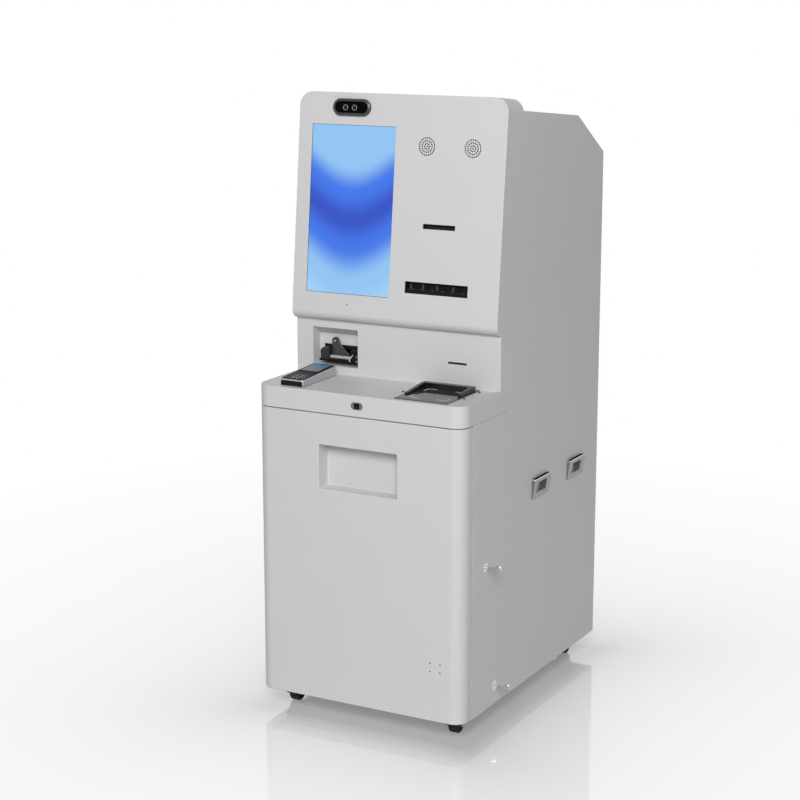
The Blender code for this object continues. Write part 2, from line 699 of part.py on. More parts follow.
def lift_handle(side, y, name):
    """A wedge-shaped frame on the side panel with a finger cup that goes through it."""
    half_y, half_z = LIFT_SIZE[0] / 2, LIFT_SIZE[1] / 2
    face = side * (RIGHT + FIT)
    outline = [
        (face, LIFT_Z - half_z),
        (face, LIFT_Z + half_z),
        (side * (RIGHT + LIFT_STAND_OUT), LIFT_Z + half_z),
        (side * (RIGHT + LIFT_STAND_OUT), LIFT_Z + half_z - LIFT_EDGE),
        (side * (RIGHT + LIFT_FOOT), LIFT_Z - half_z),
    ]
    wedge = prism(outline, "Y", y - half_y, y + half_y)
    cup = cup_half(0)
    depth = side * (RIGHT - LIFT_CUP[2] - SHEET)
    span = sorted((depth, face + side * LAP))
    walls = box((span[0], y - cup[0], LIFT_Z - cup[1]), (span[1], y + cup[0], LIFT_Z + cup[1]))
    hollow_span = sorted((side * (RIGHT - LIFT_CUP[2]), side * (RIGHT + LIFT_STAND_OUT + PAST)))
    hy, hz = LIFT_CUP[0] / 2, LIFT_CUP[1] / 2
    hollow = box((hollow_span[0], y - hy, LIFT_Z - hz), (hollow_span[1], y + hy, LIFT_Z + hz))
    finish(cut(joined(wedge, walls), hollow), name, STEEL)


# ---------------------------------------------------------------- frame and casters


def chassis():
    """Base plate, four posts, rails and a shelf welded into one frame."""
    rear_post = REAR_Y - POST - STEP
    top = rear_path()[2][1] - 3 * SHEET
    solids = [box((-INSIDE, BASE_FRONT, FOOT), (INSIDE, REAR_Y, FOOT + BASE_PLATE))]
    for side in (-1, 1):
        across = sorted((side * (INSIDE - STEP), side * (INSIDE - POST)))
        for y in (FRONT_POST_Y, rear_post):
            solids.append(box((across[0], y, FOOT + LAP), (across[1], y + POST, top)))
        for z in (RAIL_Z, top - POST):
            low = (across[0] + STEP, FRONT_POST_Y + LAP, z)
            solids.append(box(low, (across[1] - STEP, rear_post + LAP, z + POST - STEP)))
    reach = INSIDE - LAP
    for y in (FRONT_POST_Y, rear_post):
        low = (-reach, y + STEP, top - POST + STEP)
        solids.append(box(low, (reach, y + POST - STEP, top - 2 * STEP)))
    shelf_top = SHELF_Z + SHEET
    solids.append(box((-reach, FRONT_POST_Y + 2 * STEP, SHELF_Z), (0.0, rear_post + LAP, shelf_top)))
    brace = (FRONT_POST_Y + 3 * STEP, FRONT_POST_Y + POST - 3 * STEP)
    low = (-LAP, brace[0], SHELF_Z - BRACE_DROP)
    solids.append(box(low, (reach - STEP, brace[1], shelf_top - STEP)))
    frame = joined(solids[0], *solids[1:])
    holes = []
    for side in (-1, 1):
        for y in CASTER_Y:
            centre = (side * CASTER_X, y)
            holes.append(rod(centre, KINGPIN_R + FIT, "Z", FOOT - PAST, FOOT + 2 * PAST, sides=12))
    finish(cut(frame, *holes), "chassis", DARK_PAINT)


def caster(side, y, name):
    """A swivel fork with its kingpin, axle and brake pedal, and the wheel that turns in it."""
    x = side * CASTER_X
    top = FOOT - FIT - SHEET
    axle_y, axle_z = axle = (y - CASTER_TRAIL, WHEEL_R)
    inner = WHEEL_WIDTH / 2 + FORK["side_gap"]
    cheek = inner + FORK["wall"]
    crown = 2 * WHEEL_R + FORK["over"]
    solids = [
        rod((x, y), RACE_R, "Z", crown, top, sides=20),
        rod((x, y), KINGPIN_R, "Z", top - LAP, FOOT + BASE_PLATE + PIN_R - LAP, sides=12),
    ]
    nose = axle_y - PEDAL["reach"]
    profile = [
        (axle_y - CHEEK["foot"], axle_z - CHEEK["drop"]),
        (axle_y + CHEEK["foot"], axle_z - CHEEK["drop"]),
        (y + CHEEK["behind"], crown + LAP),
        (y - CHEEK["before"], crown + LAP),
        (nose, axle_z + PEDAL["low"] + PEDAL["thick"]),
        (nose, axle_z + PEDAL["low"]),
    ]
    for turn in (-1, 1):
        reach = sorted((x + turn * inner, x + turn * cheek))
        solids.append(prism(profile, "X", *reach))
    pedal_low = axle_z + PEDAL["low"] + LAP
    pedal = box(
        (x - cheek, nose + LAP, pedal_low),
        (x + cheek, nose + LAP + PEDAL["length"], pedal_low + PEDAL["thick"] - 2 * LAP),
    )
    solids.append(pedal)
    solids.append(rod(axle, AXLE_R, "X", x - inner - LAP, x + inner + LAP, sides=12))
    finish(joined(solids[0], *solids[1:]), name + "_fork", BLACK, (x, y, top))
    half = WHEEL_WIDTH / 2
    tyre = tread(axle, WHEEL_R, "X", x - half, x + half, sides=24)
    bore = rod(axle, AXLE_R + FIT, "X", x - half - PAST, x + half + PAST, sides=12)
    finish(cut(tyre, bore), name + "_wheel", RUBBER, (x, *axle))


# ---------------------------------------------------------------- head modules


def display():
    """The touch screen's glass behind its cut-out, and the housing behind the glass."""
    low = [v - SCREEN_LAP for v in SCREEN["low"]]
    size = [v + 2 * SCREEN_LAP for v in SCREEN["size"]]
    front = SHEET + FIT
    glass = in_head(slab(low, size, front, front + GLASS))
    finish(glass, "display_glass", GLASS_BLACK)
    back = front + GLASS + FIT
    housing = in_head(slab(low, size, back, back + DISPLAY_DEPTH))
    finish(housing, "display_housing", DARK_PAINT)


def camera():
    """A pill-shaped camera bar standing off the head, with a shallow recess for its window."""
    x, s = CAMERA["x"], CAMERA["s"]
    proud = CAMERA["proud"]
    bar = pill((x, s), CAMERA["size"], "Y", -proud, -FIT)
    neck = slab(centred(x, s, CAMERA_NECK["size"]), CAMERA_NECK["size"], -LAP, CAMERA_NECK["depth"])
    window = widened(CAMERA["size"], -CAMERA_RIM["width"])
    recess = pill((x, s), window, "Y", -proud - PAST, CAMERA_RIM["depth"] - proud)
    finish(in_head(cut(joined(bar, neck), recess)), "camera_housing", GREY_PLASTIC)


def speaker(x, name):
    """A round driver behind the head's sheet with its magnet at the back."""
    front = SHEET + FIT
    middle = front + SPEAKER["basket"]
    basket = rod((x, SPEAKER_S), SPEAKER_R, "Y", front, middle, sides=20)
    radius = SPEAKER_R * SPEAKER["magnet_share"]
    magnet = rod((x, SPEAKER_S), radius, "Y", middle - LAP, middle - LAP + SPEAKER["magnet"])
    finish(in_head(joined(basket, magnet)), name, BLACK)


def receipt_printer():
    """Printer behind the receipt slot, with two cheeks and a spindle for the paper roll."""
    s = RECEIPT["s"]
    back = PRINTER["back"]
    body_size = (RECEIPT["size"][0] + 2 * PRINTER["side"], PRINTER["height"])
    body = slab(centred(SLOT_X, s, body_size), body_size, SHEET + FIT, back)
    roll_depth = back + ROLL_R + ROLL_GAP
    solids = []
    inner = ROLL_WIDTH / 2 + CRADLE["gap"]
    for side in (-1, 1):
        across = sorted((SLOT_X + side * inner, SLOT_X + side * (inner + CRADLE["wall"])))
        low = (across[0], back - LAP, s - CRADLE["half"])
        solids.append(box(low, (across[1], roll_depth + CRADLE["past"], s + CRADLE["half"])))
    axle = (roll_depth, s)
    spindle = rod(axle, SPINDLE_R, "X", SLOT_X - inner - LAP, SLOT_X + inner + LAP, sides=12)
    mouth_size = widened(RECEIPT["size"], -PRINTER["mouth_gap"])
    mouth = slab(centred(SLOT_X, s, mouth_size), mouth_size, -PAST, PRINTER["mouth"])
    finish(in_head(cut(joined(body, *solids, spindle), mouth)), "receipt_printer", BLACK)
    half = ROLL_WIDTH / 2
    roll = rod(axle, ROLL_R, "X", SLOT_X - half, SLOT_X + half, sides=24)
    bore = rod(axle, SPINDLE_R + FIT, "X", SLOT_X - half - PAST, SLOT_X + half + PAST, sides=12)
    origin = HEAD_FRAME @ Vector((SLOT_X, *axle))
    finish(in_head(cut(roll, bore)), "paper_roll", PAPER, origin)


def note_outlet():
    """The pay-out chute behind the note slot, and the flap that closes it."""
    s, size = NOTE["s"], NOTE["size"]
    outer = widened(size, OUTLET["wall"])
    chute = slab(centred(SLOT_X, s, outer), outer, SHEET + FIT, OUTLET["depth"])
    mouth = slab(centred(SLOT_X, s, size), size, -PAST, OUTLET["mouth"])
    finish(in_head(cut(chute, mouth)), "note_outlet", BLACK)
    depth, s_pivot = pivot = (FLAP["depth"], s + size[1] / 2 - FLAP["drop"])
    low = s - size[1] / 2 + FLAP["gap"]
    half = size[0] / 2 - FLAP["gap"]
    thick = FLAP["thick"] / 2
    leaf = slab((SLOT_X - half, low), (2 * half, s_pivot - low), depth - thick, depth + thick)
    tube = rod(pivot, FLAP["tube"], "X", SLOT_X - half, SLOT_X + half, sides=12)
    origin = HEAD_FRAME @ Vector((SLOT_X, *pivot))
    finish(in_head(joined(leaf, tube)), "note_outlet_shutter", GREY_PLASTIC, origin)


# ---------------------------------------------------------------- middle panel and deck modules


def card_reader():
    """The reader behind the card slot, open for a card."""
    front = MID_Y + SHEET + FIT
    outer = [2 * v for v in READER["half"]]
    body = slab(centred(CARD["x"], CARD["z"], outer), outer, front, front + READER["depth"])
    opening = [v - 2 * gap for v, gap in zip(CARD["size"], READER["gap"])]
    mouth = slab(centred(CARD["x"], CARD["z"], opening), opening, front - PAST, front + READER["mouth"])
    finish(cut(body, mouth), "card_reader", BLACK)


def niche_span():
    """(left, right, floor, ceiling, front, back) of the niche's hollow."""
    left, floor = NICHE["low"]
    right, ceiling = left + NICHE["size"][0], floor + NICHE["size"][1]
    return left, right, floor, ceiling, MID_Y + SHEET + FIT, MID_Y + NICHE["depth"]


def niche_box():
    """The sheet recess around the note feeder; its ceiling slopes down to the back."""
    left, right, floor, ceiling, front, back = niche_span()
    drop = NICHE["ceiling_drop"]
    outer = [
        (front, floor - SHEET),
        (front, ceiling + SHEET),
        (back + SHEET, ceiling - drop + SHEET),
        (back + SHEET, floor - SHEET),
    ]
    mouth = front - PAST
    inner = [(mouth, floor), (mouth, ceiling), (front, ceiling), (back, ceiling - drop), (back, floor)]
    shell = prism(outer, "X", left - SHEET, right + SHEET)
    hollow = prism(inner, "X", left, right)
    low, high = feeder_window(0)
    window = box((low[0], back - PAST, low[1]), (high[0], back + PAST, high[1]))
    finish(cut(shell, hollow, window), "niche_box", PAINT)


def feeder_window(gap):
    """(x, z) corners of the hole in the niche's back, or of what passes through it with a gap."""
    left, right, floor, _, _, _ = niche_span()
    low = (left + FEEDER_WINDOW["left"] + gap, floor + FEEDER_WINDOW["low"] + gap)
    return low, (right - FEEDER_WINDOW["right"] - gap, floor + FEEDER_WINDOW["high"] - gap)


def note_feeder():
    """The note feeder in the niche: body with its tray, block and cheek, feed roller and guide paddle."""
    left, right, floor, _, _, back = niche_span()
    low, high = feeder_window(FIT)
    body = box((low[0], back - LAP, low[1]), (high[0], back + FEEDER["depth"], high[1]))
    in_left, in_right, in_low, in_high = FEEDER["throat"]
    throat = box(
        (left + in_left, back - PAST, floor + in_low),
        (right - in_right, back + FEEDER["throat_depth"], floor + in_high),
    )
    tray = box((low[0], back - TRAY["reach"], floor + TRAY["low"]), (high[0], back, floor + TRAY["high"]))
    block_x = left + FEEDER_BLOCK["x"]
    radius = FEEDER_BLOCK["r"]
    seat = floor + TRAY["high"] - LAP
    outline = [(block_x + radius, seat)]
    outline += arc((block_x, floor + FEEDER_BLOCK["z"]), radius, 0, 180, 2 * ARC_STEPS)
    outline.append((block_x - radius, seat))
    block = prism(outline, "Y", back - FEEDER_BLOCK["front"], back - FEEDER_BLOCK["back"])
    cheek_x = right - FEEDER_WINDOW["right"] - FEEDER_CHEEK["width"]
    cheek = box((cheek_x, back - FEEDER_CHEEK["front"], seat), (high[0], back, floor + FEEDER_CHEEK["high"]))
    axle = (back - FEED_ROLLER["depth"], floor + FEED_ROLLER["z"])
    ends = (block_x + radius, cheek_x)
    pin = FEED_ROLLER["pin"]
    pins = [
        rod(axle, pin, "X", ends[0] - LAP, ends[0] + 4 * LAP, sides=8),
        rod(axle, pin, "X", ends[1] - 4 * LAP, ends[1] + LAP, sides=8),
    ]
    finish(joined(cut(body, throat), tray, block, cheek, *pins), "feeder_body", BLACK)
    gap = FEED_ROLLER["gap"]
    roller = rod(axle, FEED_ROLLER["r"], "X", ends[0] + gap, ends[1] - gap, sides=12)
    bore = rod(axle, pin + FIT, "X", ends[0] - PAST, ends[1] + PAST, sides=8)
    finish(cut(roller, bore), "feeder_roller", SILVER_PLASTIC, (ends[0], *axle))
    feeder_paddle(left, floor, back)


def feeder_paddle(left, floor, back):
    """A tilting guide plate with a round crown that widens to the right above its hinge bar."""
    x = left + PADDLE["x"]
    hinge = (back - PADDLE["depth"], floor + PADDLE_HINGE["z"])
    crown = arc((x, floor + PADDLE_CROWN["z"]), PADDLE_CROWN["r"], 10, 180, ARC_STEPS)
    foot = hinge[1] + LAP
    outline = [(x + PADDLE["right"], foot)] + crown + [(x - PADDLE["left"], foot)]
    thick = PADDLE["thick"] / 2
    leaf = prism(outline, "Y", hinge[0] - thick, hinge[0] + thick)
    stem = rod(hinge, PADDLE_HINGE["r"], "X", x - PADDLE["left"], x + PADDLE["right"], sides=12)
    finish(joined(leaf, stem), "feeder_paddle", GREY_PLASTIC, (x, *hinge))


def scanner():
    """The document scanner under the deck with its glass plate, and the hood around it."""
    x, y = SCANNER["x"], SCANNER["y"]
    width = SCANNER["size"][0]
    plate_top = DECK_Z + FIT + SCANNER_BODY["plate"]
    plate = level(centred(x, y, SCANNER["size"]), SCANNER["size"], DECK_Z + FIT, plate_top)
    inner = widened(SCANNER["size"], -SCANNER_BODY["lap"] - FIT)
    body = level(centred(x, y, inner), inner, DECK_Z - SCANNER_BODY["height"], DECK_Z + LAP)
    finish(joined(plate, body), "document_scanner", GREY_PLASTIC)
    base = plate_top + FIT
    top = base + HOOD_SIDE["height"]
    front, rear = y - HOOD["front"], y + HOOD["rear"]
    edge = HOOD_SIDE["edge"]
    side_view = [(front, base), (rear, base), (rear, top - edge), (rear - edge, top)]
    side_view += [(rear - HOOD_SIDE["flat"], top), (front, base + HOOD_SIDE["lip"])]
    half = width / 2 - HOOD["inset"]
    hood = prism(side_view, "X", x - half, x + half)
    inside = width / 2 - HOOD["arm"]
    gap = box((x - inside, front - PAST, base - PAST), (x + inside, rear - HOOD["bridge"], top + PAST))
    finish(cut(hood, gap), "scanner_hood", DARK_PAINT)


def presence_sensor():
    """A pill-shaped sensor on the deck's lip with a neck through it."""
    z = SENSOR["z"]
    face = pill((0, z), SENSOR["size"], "Y", -SENSOR["proud"], -FIT)
    size = SENSOR_NECK["size"]
    neck = slab(centred(0, z, size), size, -LAP, SENSOR_NECK["depth"])
    finish(joined(face, neck), "presence_sensor", GREY_PLASTIC)


def terminal_frame():
    """Frame on the payment terminal's sloping top, with its origin at the front edge."""
    rise = TERMINAL["rear"] - TERMINAL["front"]
    slope = math.atan2(rise, TERMINAL["size"][1])
    place = Matrix.Translation((TERMINAL["x"], TERMINAL["y"], DECK_Z + TERMINAL["front"]))
    return place @ Matrix.Rotation(slope, 4, "X")


def terminal_key_places():
    """(column, row, x, y) of every key in the terminal's frame, front row first."""
    for row in range(4):
        for column in range(3):
            yield column, row, (column - 1) * KEY_PITCH[0], KEY_FIRST + row * KEY_PITCH[1]


def payment_terminal():
    """A wedge-shaped card terminal standing on the deck, with twelve keys in pockets."""
    x, y = TERMINAL["x"], TERMINAL["y"]
    half = TERMINAL["size"][0] / 2
    end = y + TERMINAL["size"][1]
    base = DECK_Z + FIT
    nose_run, nose_drop = TERMINAL_NOSE
    outline = [
        (y, base),
        (end, base),
        (end, DECK_Z + TERMINAL["rear"]),
        (y + nose_run, DECK_Z + TERMINAL["front"]),
        (y, DECK_Z + TERMINAL["front"] - nose_drop),
    ]
    body = prism(outline, "X", x - half, x + half)
    frame = terminal_frame()
    w, d, h = KEY_SIZE
    key_foot = -h / 2
    pocket = widened((w, d), KEY_GAP)
    floor = key_foot - KEY_TRAVEL - KEY_GAP
    pockets = []
    for _, _, kx, ky in terminal_key_places():
        pockets.append(moved(level(centred(kx, ky, pocket), pocket, floor, PAST), frame))
    finish(cut(body, *pockets), "payment_terminal", SILVER_PLASTIC)
    for column, row, kx, ky in terminal_key_places():
        key = level(centred(kx, ky, (w, d)), (w, d), key_foot, key_foot + h)
        name = f"terminal_key_{row + 1}_{column + 1}"
        finish(moved(key, frame), name, BLACK, frame @ Vector((kx, ky, 0)))


# ---------------------------------------------------------------- modules in the cabinet


def note_dispenser():
    """Cash module on the base plate: case, four cassette fronts and the lift to the outlet."""
    x = SLOT_X - DISPENSER["shift"]
    half = DISPENSER["half"]
    low = FOOT + BASE_PLATE + FIT
    top = SHELF_Z - DISPENSER["below_shelf"]
    front, rear = DISPENSER["y"]
    solids = [box((x - half, front, low), (x + half, rear, top))]
    first = low + CASSETTE["foot"]
    pitch = (top - low - 2 * CASSETTE["foot"]) / CASSETTE["count"]
    side = half - CASSETTE["inset"]
    for level_number in range(CASSETTE["count"]):
        z = first + level_number * pitch
        corner = (x - side, CASSETTE["y"][0], z)
        solids.append(box(corner, (x + side, CASSETTE["y"][1], z + pitch - CASSETTE["gap"])))
    near, far = NOTE_LIFT["chute"]
    outlet_z = head_point(near, NOTE["s"] - NOTE_LIFT["drop"])[1]
    head_front, head_z = head_point(far, NOTE["s"] + NOTE["size"][1] / 2)
    reach = NOTE["size"][0] / 2 - NOTE_LIFT["inset"]
    back = FRONT_POST_Y + POST + PAST / 2
    solids.append(box((SLOT_X - reach, back, top - LAP), (SLOT_X + reach, back + NOTE_LIFT["depth"], head_z)))
    solids.append(box((SLOT_X - reach, head_front, outlet_z), (SLOT_X + reach, back + LAP, head_z - LAP)))
    finish(joined(solids[0], *solids[1:]), "note_dispenser", GREY_PLASTIC)


def computer():
    """The controller's case on the frame's shelf."""
    low = (LEFT + COMPUTER["left"], FRONT_POST_Y + COMPUTER["front"], SHELF_Z + SHEET + FIT)
    high = (-COMPUTER["right"], REAR_Y - COMPUTER["rear"], SHELF_Z + COMPUTER["height"])
    finish(box(low, high), "computer", DARK_PAINT)


def power_entry():
    """Mains inlet with a switch well in the rear cover's foot, and its rocker."""
    x, z = INLET["x"], INLET["z"]
    plate = slab(centred(x, z, INLET["plate"]), INLET["plate"], DEPTH + FIT, DEPTH + SHEET)
    body = slab(centred(x, z, INLET["body"]), INLET["body"], DEPTH - INLET["depth"], DEPTH + LAP)
    half = SOCKET["half"]
    socket = box(
        (x - half, DEPTH - SOCKET["depth"], z - SOCKET["low"]),
        (x + half, DEPTH + PAST, z - SOCKET["high"]),
    )
    well_z = z + SWITCH["rise"]
    well_size = [2 * v for v in SWITCH_WELL["half"]]
    well = slab(centred(x, well_z, well_size), well_size, DEPTH - SWITCH_WELL["depth"], DEPTH + PAST)
    finish(cut(joined(plate, body), socket, well), "power_inlet", BLACK)
    y = DEPTH - SWITCH["depth"]
    reach, rise = SWITCH["half"]
    back, front = y - ROCKER["back"], y + ROCKER["front"]
    outline = [
        (back, well_z - rise),
        (back, well_z + rise),
        (front, well_z + rise),
        (y + ROCKER["waist"], well_z),
        (front, well_z - rise),
    ]
    rocker = prism(outline, "X", x - reach, x + reach)
    tilt = Matrix.Translation((x, y, well_z)) @ Matrix.Rotation(SWITCH_TILT, 4, "X")
    rocker = moved(rocker, tilt @ Matrix.Translation((-x, -y, -well_z)))
    finish(rocker, "power_switch", BLACK, (x, y, well_z))


# ---------------------------------------------------------------- assembly


def gather():
    """Hang every solid on one empty that brings the origin under the machine's middle."""
    root = bpy.data.objects.new("machine", None)
    bpy.context.scene.collection.objects.link(root)
    across = (KEY_REACH - LIFT_STAND_OUT) / 2
    along = (DEPTH + REAR_HANDLE["reach"] - SENSOR["proud"]) / 2
    root.location = (-across, -along, 0)
    for item in bpy.context.scene.objects:
        if item.type == "MESH":
            item.parent = root


def main():
    """Build the whole machine."""
    clear_scene()
    front_shell()
    for side, word in ((-1, "left"), (1, "right")):
        side_panel(side, word + "_side_panel")
        for y, place in zip(LIFT_Y, ("front", "rear")):
            lift_handle(side, y, f"{word}_{place}_lift_handle")
        for y, place in zip(CASTER_Y, ("front", "rear")):
            caster(side, y, f"{place}_{word}_caster")
    rear_cover()
    rear_door()
    rear_handle()
    front_door()
    door_hinges()
    lock_and_key("upper", UPPER_LOCK)
    lock_and_key("lower", LOWER_LOCK)
    chassis()
    display()
    camera()
    for x, word in zip(SPEAKER_X, ("left", "right")):
        speaker(x, word + "_speaker")
    receipt_printer()
    note_outlet()
    card_reader()
    niche_box()
    note_feeder()
    scanner()
    presence_sensor()
    payment_terminal()
    note_dispenser()
    computer()
    power_entry()
    gather()


main()
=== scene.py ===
"""Finished look of a self-service cash machine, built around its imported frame.

Run it as a script. Every piece is a surface worked out from the frame's own boxes, in metres, with +Z up
and the user standing at -Y.
"""

import json
import math

import bmesh
import bpy
import numpy as np
from bpy.props import FloatProperty, FloatVectorProperty, PointerProperty
from mathutils import Matrix, Vector
from mathutils.geometry import delaunay_2d_cdt

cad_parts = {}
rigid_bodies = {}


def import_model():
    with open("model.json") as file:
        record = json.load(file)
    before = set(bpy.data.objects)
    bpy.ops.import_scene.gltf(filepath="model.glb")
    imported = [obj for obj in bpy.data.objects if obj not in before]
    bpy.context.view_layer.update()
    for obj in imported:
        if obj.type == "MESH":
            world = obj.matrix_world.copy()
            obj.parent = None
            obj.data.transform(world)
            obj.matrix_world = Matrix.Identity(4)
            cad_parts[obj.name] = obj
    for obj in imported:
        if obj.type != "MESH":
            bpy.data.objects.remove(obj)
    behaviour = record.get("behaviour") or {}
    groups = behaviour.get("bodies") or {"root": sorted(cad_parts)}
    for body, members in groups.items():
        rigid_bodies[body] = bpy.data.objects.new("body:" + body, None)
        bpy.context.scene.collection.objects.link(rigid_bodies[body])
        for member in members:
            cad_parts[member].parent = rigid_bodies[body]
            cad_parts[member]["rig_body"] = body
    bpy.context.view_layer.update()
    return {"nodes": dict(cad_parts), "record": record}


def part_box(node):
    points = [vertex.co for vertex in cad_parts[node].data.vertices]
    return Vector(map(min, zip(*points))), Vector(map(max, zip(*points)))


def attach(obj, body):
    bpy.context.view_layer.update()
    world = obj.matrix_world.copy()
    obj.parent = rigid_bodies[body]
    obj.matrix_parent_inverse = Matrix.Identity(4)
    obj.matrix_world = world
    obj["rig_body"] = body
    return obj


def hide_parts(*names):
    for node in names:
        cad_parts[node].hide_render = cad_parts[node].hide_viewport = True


bl_info = {
    "name": "Cash machine",
    "version": (1, 0, 0),
    "blender": (4, 5, 0),
    "location": "3D View > Sidebar > Cash machine",
    "description": "Builds the finished pieces of a self-service cash machine around its frame",
    "category": "Object",
}

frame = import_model()

# ---------------------------------------------------------------- places on the machine

# Sheet metal's thickness, the gap between parts that sit together, and the reach of one point.
SHEET = 0.002
FIT = 0.0003
FINE = 0.00001


def corners_of(node):
    """Every corner of a CAD node as an (n, 3) array."""
    mesh = frame["nodes"][node].data
    points = np.empty(len(mesh.vertices) * 3)
    mesh.vertices.foreach_get("co", points)
    return points.reshape(-1, 3)


class Place:
    """A corner to build from: a point is origin + a * across + b * up + c * out."""

    def __init__(self, origin, across, up, out):
        self.origin = np.asarray(origin, float)
        self.ways = np.asarray((across, up, out), float)

    def __call__(self, a, b, c):
        a, b, c = np.broadcast_arrays(np.asarray(a, float), b, c)
        return self.origin + np.stack((a, b, c), -1) @ self.ways

    def at(self, a, b, c=0.0):
        """The same directions from another origin."""
        return Place(self(a, b, c), *self.ways)

    def span(self, node):
        """Lowest and highest (a, b, c) of a CAD node seen from here."""
        local = (corners_of(node) - self.origin) @ self.ways.T
        return local.min(0), local.max(0)

    def middle(self, node):
        """Middle of a CAD node seen from here."""
        low, high = self.span(node)
        return (low + high) / 2


X, Y, Z = np.eye(3)
LEFT_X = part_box("left_side_panel")[0].x
RIGHT_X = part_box("right_side_panel")[1].x
FRONT_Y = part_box("front_shell")[0].y
BACK_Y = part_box("rear_cover")[1].y
HALF = (RIGHT_X - LEFT_X) / 2
MIDDLE_X = (RIGHT_X + LEFT_X) / 2
DEPTH = BACK_Y - FRONT_Y
DECK_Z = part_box("payment_terminal")[0].z - FIT
LIP_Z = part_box("front_shell")[0].z
MID_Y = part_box("niche_box")[0].y - SHEET - FIT - FRONT_Y

CABINET = Place((MIDDLE_X, FRONT_Y, 0), X, Y, Z)
FACE = Place((MIDDLE_X, FRONT_Y, 0), X, Z, -Y)
MID = Place((MIDDLE_X, FRONT_Y + MID_Y, 0), X, Z, -Y)
DECK = Place((MIDDLE_X, FRONT_Y, DECK_Z), X, Y, Z)
RIGHT_SIDE = Place((RIGHT_X, FRONT_Y, 0), Y, Z, X)
LEFT_SIDE = Place((LEFT_X, FRONT_Y, 0), Y, Z, -X)
REAR = Place((MIDDLE_X, BACK_Y, 0), X, Z, Y)

# The head's face carries the display; its glass sits a sheet and a fit behind it.
SCREEN_LAP = 0.006
GLASS_LOW = 0.0542 - SCREEN_LAP


def head_place():
    """Place on the head's face: across, up the slope and out to the user, from the face's lower edge."""
    points = corners_of("display_glass")
    low = points[points[:, 1].argmin()]
    high = points[points[:, 2].argmax()]
    slope = np.array((0, high[1] - low[1], high[2] - low[2]))
    slope /= np.linalg.norm(slope)
    out = np.array((0, -slope[2], slope[1]))
    origin = low - slope * GLASS_LOW + out * (SHEET + FIT)
    return Place((MIDDLE_X, origin[1], origin[2]), X, slope, out)


HEAD = head_place()
TILT = math.atan2(HEAD.ways[1][1], HEAD.ways[1][2])
HEAD_TOP = (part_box("front_shell")[1].z - HEAD.origin[2]) / math.cos(TILT)
HEAD_BACK = 0.100
STRIP = HEAD_TOP - 0.031 - SHEET - 0.0008
HINGE = (-HALF + 0.0225, 0.022)
SPEAKERS = ("left_speaker", "right_speaker")
FIELD_R = 0.0305
CAMERA_HOLE = (0.098, 0.026)
RECEIPT_HOLE = (0.100, 0.014)
CARD_HOLE = (0.058, 0.0065)
SENSOR_HOLE = (0.025, 0.014)
OUTLET_LAP = 0.006
SCANNER_LAP = 0.008
MICROPHONE = {"x": -HALF + 0.1795, "s": 0.025, "r": 0.002}
DOOR_HOLES = {"x": (HALF - 0.0985, HALF - 0.0675), "z": (0.2065, 0.230), "r": 0.0025}
HINGE_BORE_R = 0.0043

# ---------------------------------------------------------------- surfaces


def grid(points, wrap=False):
    """Quads over an (m, n) net of points; wrap joins the last column to the first."""
    m, n = points.shape[:2]
    index = np.arange(m * n).reshape(m, n)
    if wrap:
        index = np.concatenate((index, index[:, :1]), axis=1)
    quads = np.stack((index[:-1, :-1], index[:-1, 1:], index[1:, 1:], index[1:, :-1]), axis=-1)
    return points.reshape(-1, 3), quads.reshape(-1, 4).tolist()


def loft(loops, depths, place, ends=(True, True)):
    """Closed loops of (a, b) at successive depths c, joined by quads and closed by flat ends."""
    loops = np.asarray(loops, float)
    count, size = loops.shape[:2]
    depths = np.broadcast_to(np.asarray(depths, float)[:, None], (count, size))
    points, faces = grid(place(loops[..., 0], loops[..., 1], depths), wrap=True)
    if ends[0]:
        faces.append(list(range(size))[::-1])
    if ends[1]:
        faces.append(list(range((count - 1) * size, count * size)))
    return points, faces


def rounded(width, height, radius, steps=5, centre=(0.0, 0.0)):
    """Rectangle with round corners: each corner's centre plus radius times (cos, sin) over a quarter turn."""
    turn = np.arange(4)[:, None] * math.pi / 2 + np.linspace(0, math.pi / 2, steps + 1)
    right = np.array((1, -1, -1, 1))[:, None]
    upper = np.array((1, 1, -1, -1))[:, None]
    x = centre[0] + right * (width / 2 - radius) + radius * np.cos(turn)
    y = centre[1] + upper * (height / 2 - radius) + radius * np.sin(turn)
    return np.stack((x, y), -1).reshape(-1, 2)


def circle(radius, sides=32, centre=(0.0, 0.0)):
    """Loop of a circle: centre plus radius times (cos, sin)."""
    turn = np.arange(sides) * 2 * math.pi / sides
    return np.stack((centre[0] + radius * np.cos(turn), centre[1] + radius * np.sin(turn)), -1)


def arc(centre, radius, first, last, steps):
    """Points of an arc between two angles in degrees."""
    turn = np.radians(np.linspace(first, last, steps + 1))
    return np.stack((centre[0] + radius * np.cos(turn), centre[1] + radius * np.sin(turn)), -1)


def round_ends(depth, edge):
    """Insets and depths of loops that follow a quarter circle of the edge's radius at both ends."""
    turn = np.linspace(0, math.pi / 2, 4)
    inset = edge * (1 - np.sin(turn))
    along = edge * (1 - np.cos(turn))
    insets = np.concatenate((inset, inset[::-1]))
    return insets, np.concatenate((depth[0] + along, depth[1] - along[::-1]))


def block(place, size, depth, corner=0.002, edge=0.0005, steps=4):
    """Block with round corners and edges."""
    insets, depths = round_ends(depth, edge)
    corner = max(corner, edge + FINE)
    loops = [rounded(size[0] - 2 * i, size[1] - 2 * i, corner - i, steps) for i in insets]
    return loft(loops, depths, place)


def lathe(profile, place, sides=32, ends=(True, True)):
    """A profile of (radius, height) turned about the place's out direction."""
    profile = np.asarray(profile, float)
    return loft(profile[:, :1, None] * circle(1.0, sides), profile[:, 1], place, ends)


